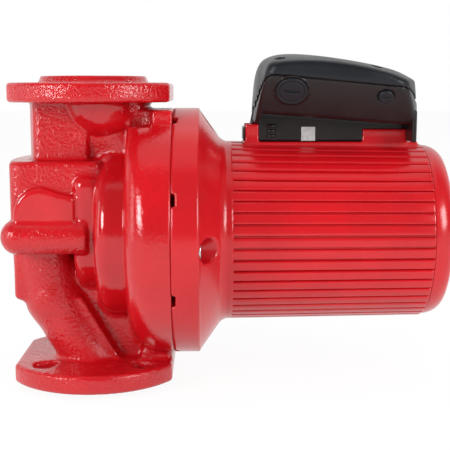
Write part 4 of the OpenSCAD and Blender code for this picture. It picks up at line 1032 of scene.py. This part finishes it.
class CirculatorBox(bpy.types.PropertyGroup):
    edge: bpy.props.FloatProperty(name="Edge", default=4.0, min=2.0, max=14.0,
                                  description="Rounding of the lid's long edges, in mm")
    seam_gap: bpy.props.FloatProperty(name="Seam Gap", default=0.3, min=0.1, max=1.0,
                                      description="Gap between lid and tub, in mm")
    grid: bpy.props.FloatProperty(name="Grid", default=1.2, min=1.0, max=3.0,
                                  description="Cell size of the skin over the box, in mm")


class CirculatorFinish(bpy.types.PropertyGroup):
    enamel: bpy.props.FloatVectorProperty(name="Enamel", subtype="COLOR", size=3, min=0, max=1,
                                          default=(0.62, 0.006, 0.012), description="Colour of the enamel")
    enamel_deep: bpy.props.FloatVectorProperty(name="Deep Enamel", subtype="COLOR", size=3, min=0, max=1,
                                               default=(0.52, 0.004, 0.009),
                                               description="Second tone of the enamel")
    # dark tub plastic whose brown tint is the red motor's reflection, painted into the colour
    tub: bpy.props.FloatVectorProperty(name="Tub", subtype="COLOR", size=3, min=0, max=1,
                                       default=(0.0105, 0.0065, 0.0068),
                                       description="Colour of the box's tub")
    lid: bpy.props.FloatVectorProperty(name="Lid", subtype="COLOR", size=3, min=0, max=1,
                                       default=(0.0065, 0.0075, 0.0105),
                                       description="Colour of the box's lid")
    sand_depth: bpy.props.FloatProperty(name="Sand Depth", default=0.0009, min=0, max=0.002, unit="LENGTH",
                                        description="Depth of the cast grain under the enamel")


class CirculatorStage(bpy.types.PropertyGroup):
    top_power: bpy.props.FloatProperty(name="Top Light", default=3.5, min=0, unit="POWER",
                                       description="Power of the overhead soft light")
    left_power: bpy.props.FloatProperty(name="Left Light", default=12.0, min=0, unit="POWER",
                                        description="Power of the soft light in front on the left")
    right_power: bpy.props.FloatProperty(name="Right Light", default=11.0, min=0, unit="POWER",
                                         description="Power of the soft light in front on the right")
    side_power: bpy.props.FloatProperty(name="Side Light", default=3.0, min=0, unit="POWER",
                                        description="Power of the soft light on the far left")
    room: bpy.props.FloatProperty(name="Room Light", default=0.5, min=0, max=1,
                                  description="Brightness of the room around the stage")


# ---- operators ----

class CIRCULATOR_OT_finishes(bpy.types.Operator):
    """Make the enamel, plastic, metal, rubber and copper finishes and put them on the CAD nodes"""
    bl_idname = "circulator.finishes"
    bl_label = "Finishes"

    def execute(self, context):
        look = context.scene.circulator_finish
        for make_group in (cast_grain_group, tone_group, lines_group):
            make_group()
        red, deep = tuple(look.enamel), tuple(look.enamel_deep)
        # the enamel is painted 10 % darker in the grain's hollows, as shade
        finish("painted_iron", red, deep, 0.13, 0.03, patch=18, grain=360, fine=0.12, depth=look.sand_depth,
               hollow_shade_tone=[c * 0.9 for c in red], ior=1.6, share="sand")
        finish("painted_aluminium", red, deep, 0.22, 0.03, patch=12, grain=260, fine=0.2, depth=0.00005,
               ior=1.55)
        # painted reflection: the tub's dark plastic carries a brown tint from the red motor below
        finish("tub_plastic_red_reflection", tuple(look.tub), [c * 1.5 for c in look.tub], 0.36, 0.06, patch=45, grain=2200,
               depth=0.00003, ior=1.4)
        finish("lid_plastic", tuple(look.lid), [c * 1.3 for c in look.lid], 0.42, 0.05, patch=40, grain=2200,
               depth=0.00004, ior=1.4)
        finish("stainless", (0.62, 0.62, 0.61), (0.55, 0.55, 0.54), 0.28, metallic=1, lines=(40, 900, 900),
               line_depth=0.00002)
        finish("steel", (0.6, 0.6, 0.6), (0.5, 0.5, 0.49), 0.26, metallic=1, patch=150, lines=(900, 120, 120),
               line_depth=0.00001)
        finish("laminations", (0.33, 0.33, 0.34), (0.26, 0.26, 0.27), 0.45, metallic=1, lines=(2000, 20, 20),
               line_depth=0.0001)
        finish("rotor_aluminium", (0.78, 0.79, 0.8), (0.7, 0.71, 0.72), 0.35, metallic=1,
               lines=(60, 700, 700), line_depth=0.00002)
        finish("copper", (0.7, 0.3, 0.14), (0.55, 0.2, 0.08), 0.3, metallic=1, lines=(1200, 60, 60),
               line_depth=0.0003)
        finish("ceramic", (0.82, 0.79, 0.7), (0.75, 0.72, 0.63), 0.25, grain=1500, depth=0.00001)
        finish("carbon", (0.03, 0.03, 0.032), (0.045, 0.045, 0.047), 0.5, grain=1200, depth=0.00003)
        finish("rubber", (0.02, 0.02, 0.02), (0.035, 0.035, 0.035), 0.65, grain=900, depth=0.00005)
        finish("black_plastic", (0.03, 0.032, 0.04), (0.04, 0.042, 0.05), 0.45, grain=1800, depth=0.00003)
        finish("light_plastic", (0.7, 0.7, 0.64), (0.62, 0.62, 0.56), 0.4, grain=1500, depth=0.00002)
        finish("knob_plastic", (0.72, 0.1, 0.02), (0.62, 0.08, 0.02), 0.35, grain=1500, depth=0.00002)
        finish("brass", (0.72, 0.5, 0.2), (0.6, 0.4, 0.15), 0.3, metallic=1, lines=(300, 300, 900),
               line_depth=0.00001)
        finish("capacitor_shell", (0.7, 0.71, 0.73), (0.62, 0.63, 0.65), 0.35, metallic=1,
               lines=(20, 800, 800), line_depth=0.00001)
        finish("label_film", (0.5, 0.49, 0.49), (0.4, 0.39, 0.39), 0.5, patch=300, grain=1200, depth=0.00002)
        finish("lead_sleeve", (0.02, 0.07, 0.4), (0.015, 0.05, 0.3), 0.5, grain=1500, depth=0.00003)
        for name, nodes in NODE_FINISHES.items():
            for node in nodes:
                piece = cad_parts[node]
                if not piece.material_slots:
                    piece.data.materials.append(None)
                for slot in piece.material_slots:
                    slot.material = finish_named(name)
        return {"FINISHED"}


class CIRCULATOR_OT_casting(bpy.types.Operator):
    """Skin the pump housing with its flanges, leg, chamber, column, drum and passages"""
    bl_idname = "circulator.casting"
    bl_label = "Pump casting"

    def execute(self, context):
        size = context.scene.circulator_casting

        def whole(p):
            outside = casting_outside(p, size.fillet, size.flange_edge)
            return keep(cut(outside, casting_passages(p), 0.6), p[0] - JOINT_X, 1)

        margin = 2 * size.grid
        piece = skin("pump_casting", whole, HOUSING_LOW - margin, HOUSING_HIGH + margin, size.grid)
        sand = piece.data.attributes.new("sand", "FLOAT", "POINT")
        places = np.empty(3 * len(piece.data.vertices))
        piece.data.vertices.foreach_get("co", places)
        sand.data.foreach_set("value", sand_share(places.reshape(-1, 3).T / MM))
        finished(piece, "painted_iron", "pump", "painted_iron", "pump_housing")
        return {"FINISHED"}


class CIRCULATOR_OT_motor(bpy.types.Operator):
    """Make the motor's rim, cone, ribbed barrel, smooth end and box posts"""
    bl_idname = "circulator.motor"
    bl_label = "Motor casing"

    def execute(self, context):
        size = context.scene.circulator_motor
        grid = size.grid
        low = (REGISTER_X - 2 * grid, -RIM_R - 2 * grid, AXIS_Z - RIM_R - 2 * grid)
        high = (RIB_X + 2 * grid, RIM_R + 2 * grid, AXIS_Z + RIM_R + 2 * grid)
        front = skin("motor_front", motor_front, low, high, grid)
        template = rib_template(size.groove_width, size.groove_depth, size.rib_count)
        turn = 2 * math.pi / size.rib_count
        ribs = copies("ribs", template, "painted_aluminium", size.rib_count, (0, 0, AXIS_Z),
                      first_turn=turn / 2, turn=turn)
        seat = skin("saddle", saddle, (SKIRT_X - 3, -21, SADDLE_Z - 19),
                    (SADDLE_END_X + 3, 21, SADDLE_Z + 19), 1.2)
        piece = merged("motor_casing", [front, barrel(), crease(ribs, 50), seat])
        finished(piece, "painted_aluminium", "pump", "painted_aluminium", "motor_housing")
        return {"FINISHED"}


class CIRCULATOR_OT_terminal_box(bpy.types.Operator):
    """Make the tub with its vent and the arched lid of the terminal box"""
    bl_idname = "circulator.terminal_box"
    bl_label = "Terminal box"

    def execute(self, context):
        size = context.scene.circulator_box
        grid = size.grid
        low = np.array(TUB_LOW) - 2 * grid
        high = np.array(TUB_HIGH) + 4 * grid
        base = skin("tub_shell", lambda p: tub(p, size.edge), low, high, grid)
        template = as_object(*slat_mesh())
        first_slat = (BOX_X + 19, -SKIRT_HALF_W - 0.2, SADDLE_Z + 5.5)
        slats = copies("slats", outward(template), "tub_plastic_red_reflection", 3, first_slat, step=(0, 0, 4.5))
        finished(merged("terminal_box_tub", [base, slats]), "tub_plastic_red_reflection", "pump", "black_plastic",
                 "terminal_box_base")
        low, high = node_box("terminal_box_lid")
        low = np.minimum(low, (BOX_X, 0, SADDLE_Z + 10))
        cover = skin("terminal_box_cover", lambda p: lid(p, size.edge, size.seam_gap), low - 4 * grid,
                     high + 4 * grid, grid)
        finished(cover, "lid_plastic", "pump", "black_plastic", "terminal_box_lid")
        return {"FINISHED"}


def slat_mesh():
    """Name, points and faces of one vent slat with a sloped front."""
    section = [(0.6, -1.5), (-0.2, -1.5), (-0.8, -1.1), (-0.8, 0.2), (-0.2, 1.4), (0.6, 1.5)]
    points = [(x, y, z) for x in (-4, 4) for y, z in section]
    n = len(section)
    faces = [(k, (k + 1) % n, n + (k + 1) % n, n + k) for k in range(n)]
    faces += [tuple(range(n - 1, -1, -1)), tuple(range(n, 2 * n))]
    return "slat_template", points, faces


class CIRCULATOR_OT_plugs(bpy.types.Operator):
    """Make the two blanking plugs on the front of the tub"""
    bl_idname = "circulator.plugs"
    bl_label = "Blanking plugs"

    def execute(self, context):
        for name, field, spot, reach, node in (
                ("blanking_plug_large", large_plug, LARGE_PLUG, 16, "cable_plug_large"),
                ("blanking_plug_small", small_plug, SMALL_PLUG, 9, "cable_plug_small")):
            piece = skin(name, field, (-reach, -reach, -10), (reach, reach, 4), 0.6)
            finished(moved(piece, spot), "lid_plastic", "pump", "black_plastic", node)
        return {"FINISHED"}


class CIRCULATOR_OT_screws(bpy.types.Operator):
    """Make the four socket-head screws that hold the motor"""
    bl_idname = "circulator.screws"
    bl_label = "Motor screws"

    def execute(self, context):
        piece = copies("motor_screws", socket_screw(), "steel", 4, (POCKET_X, 0, AXIS_Z),
                       first_turn=SCREW_TURN, turn=math.pi / 2)
        finished(crease(piece, 35), "steel", "pump", "steel", "housing_screws")
        return {"FINISHED"}


class CIRCULATOR_OT_stage(bpy.types.Operator):
    """Set up the floor, the soft lights, the room and the camera"""
    bl_idname = "circulator.stage"
    bl_label = "Stage"

    def execute(self, context):
        scene = context.scene
        stage = scene.circulator_stage
        scene.view_settings.view_transform = "Standard"
        floor_mesh = bpy.data.meshes.new("floor")
        reach = 12
        corners = [(-reach, -reach, 0), (reach, -reach, 0), (reach, reach, 0), (-reach, reach, 0)]
        floor_mesh.from_pydata(corners, [], [(0, 1, 2, 3)])
        floor = bpy.data.objects.new("floor", floor_mesh)
        scene.collection.objects.link(floor)
        floor_mesh.materials.append(self.floor_paint())
        self.room(scene, stage.room)
        self.lamp("top_light", (0.1, 0.0, 1.6), (0.1, 0.0, 0.14), (1.6, 1.4), stage.top_power)
        self.lamp("left_light", (-1.05, -1.1, 0.62), (0.05, 0.0, 0.14), (0.4, 0.55), stage.left_power)
        self.lamp("right_light", (1.25, -1.0, 0.62), (0.1, 0.0, 0.14), (0.5, 0.6), stage.right_power)
        self.lamp("side_light", (-1.6, -0.3, 0.5), (0.0, 0.0, 0.15), (0.4, 0.9), stage.side_power)
        camera = bpy.data.objects.new("camera", bpy.data.cameras.new("camera"))
        scene.collection.objects.link(camera)
        camera.data.lens = 74.34
        camera.data.sensor_width = 36.0
        camera.location = (0.10438, -0.85739, 0.2667)
        camera.rotation_euler = (math.radians(81.8), 0, math.radians(-1.01))
        scene.camera = camera
        return {"FINISHED"}

    def floor_paint(self):
        material = bpy.data.materials.new("floor_paint")
        material.use_nodes = True
        tree = material.node_tree
        tree.nodes.clear()
        result = tree.nodes.new("ShaderNodeOutputMaterial")
        matt, white = tree.nodes.new("ShaderNodeBsdfDiffuse"), tree.nodes.new("ShaderNodeEmission")
        matt.inputs["Color"].default_value = (0.86, 0.86, 0.86, 1)
        ray = tree.nodes.new("ShaderNodeLightPath")
        seen = math_node(tree, "MAXIMUM", ray.outputs["Is Camera Ray"], mirrored_ray(tree, ray))
        mix = tree.nodes.new("ShaderNodeMixShader")
        white.inputs["Strength"].default_value = 1.05
        tree.links.new(math_node(tree, "MULTIPLY", seen, 0.88), mix.inputs[0])
        tree.links.new(matt.outputs[0], mix.inputs[1])
        tree.links.new(white.outputs[0], mix.inputs[2])
        tree.links.new(mix.outputs[0], result.inputs[0])
        return material

    def room(self, scene, level):
        """Dim room around the stage; white behind the object and wherever the camera looks past it."""
        world = bpy.data.worlds.new("room")
        scene.world = world
        world.use_nodes = True
        tree = world.node_tree
        tree.nodes.clear()
        result = tree.nodes.new("ShaderNodeOutputWorld")
        dim, white = tree.nodes.new("ShaderNodeBackground"), tree.nodes.new("ShaderNodeBackground")
        dim.inputs["Color"].default_value = (1, 1, 1, 1)
        white.inputs["Color"].default_value = (1, 1, 1, 1)
        ray = tree.nodes.new("ShaderNodeLightPath")
        direction = tree.nodes.new("ShaderNodeSeparateXYZ")
        tree.links.new(tree.nodes.new("ShaderNodeTexCoord").outputs["Generated"], direction.inputs[0])
        behind = tree.nodes.new("ShaderNodeMapRange")
        behind.inputs["From Min"].default_value = 0.0
        behind.inputs["From Max"].default_value = 0.5
        tree.links.new(direction.outputs["Y"], behind.inputs["Value"])
        mirrored = mirrored_ray(tree, ray)
        drop = math_node(tree, "MULTIPLY", mirrored, level * 0.75)
        tree.links.new(math_node(tree, "SUBTRACT", level, drop), dim.inputs["Strength"])
        seen = math_node(tree, "MAXIMUM", ray.outputs["Is Camera Ray"],
                         math_node(tree, "MULTIPLY", mirrored, behind.outputs[0]))
        mix = tree.nodes.new("ShaderNodeMixShader")
        tree.links.new(seen, mix.inputs[0])
        tree.links.new(dim.outputs[0], mix.inputs[1])
        tree.links.new(white.outputs[0], mix.inputs[2])
        tree.links.new(mix.outputs[0], result.inputs[0])

    def lamp(self, name, place, target, size, power):
        light = bpy.data.lights.new(name, "AREA")
        light.shape = "RECTANGLE"
        light.size, light.size_y = size
        light.energy = power
        lamp = bpy.data.objects.new(name, light)
        bpy.context.scene.collection.objects.link(lamp)
        lamp.location = place
        lamp.rotation_euler = (Vector(target) - Vector(place)).to_track_quat("-Z", "Y").to_euler()


class CIRCULATOR_PT_panel(bpy.types.Panel):
    bl_label = "Circulator pump"
    bl_idname = "CIRCULATOR_PT_panel"
    bl_space_type = "VIEW_3D"
    bl_region_type = "UI"
    bl_category = "Circulator"

    def draw(self, context):
        for kind in OPERATORS:
            self.layout.operator(kind.bl_idname)
        for name in SETTINGS:
            settings = getattr(context.scene, name)
            box = self.layout.box()
            for key in settings.__annotations__:
                box.prop(settings, key)


SETTINGS = {"circulator_casting": CirculatorCasting, "circulator_motor": CirculatorMotor,
            "circulator_box": CirculatorBox, "circulator_finish": CirculatorFinish,
            "circulator_stage": CirculatorStage}
OPERATORS = (CIRCULATOR_OT_finishes, CIRCULATOR_OT_casting, CIRCULATOR_OT_motor, CIRCULATOR_OT_terminal_box,
             CIRCULATOR_OT_plugs, CIRCULATOR_OT_screws, CIRCULATOR_OT_stage)


def register():
    for kind in (*SETTINGS.values(), *OPERATORS, CIRCULATOR_PT_panel):
        bpy.utils.register_class(kind)
    for name, kind in SETTINGS.items():
        setattr(bpy.types.Scene, name, bpy.props.PointerProperty(type=kind))


def unregister():
    for name in SETTINGS:
        delattr(bpy.types.Scene, name)
    for kind in reversed((*SETTINGS.values(), *OPERATORS, CIRCULATOR_PT_panel)):
        bpy.utils.unregister_class(kind)


def main():
    register()
    bpy.ops.circulator.finishes()
    bpy.ops.circulator.casting()
    bpy.ops.circulator.motor()
    bpy.ops.circulator.terminal_box()
    bpy.ops.circulator.plugs()
    bpy.ops.circulator.screws()
    bpy.ops.circulator.stage()


if __name__ == "__main__":
    main()
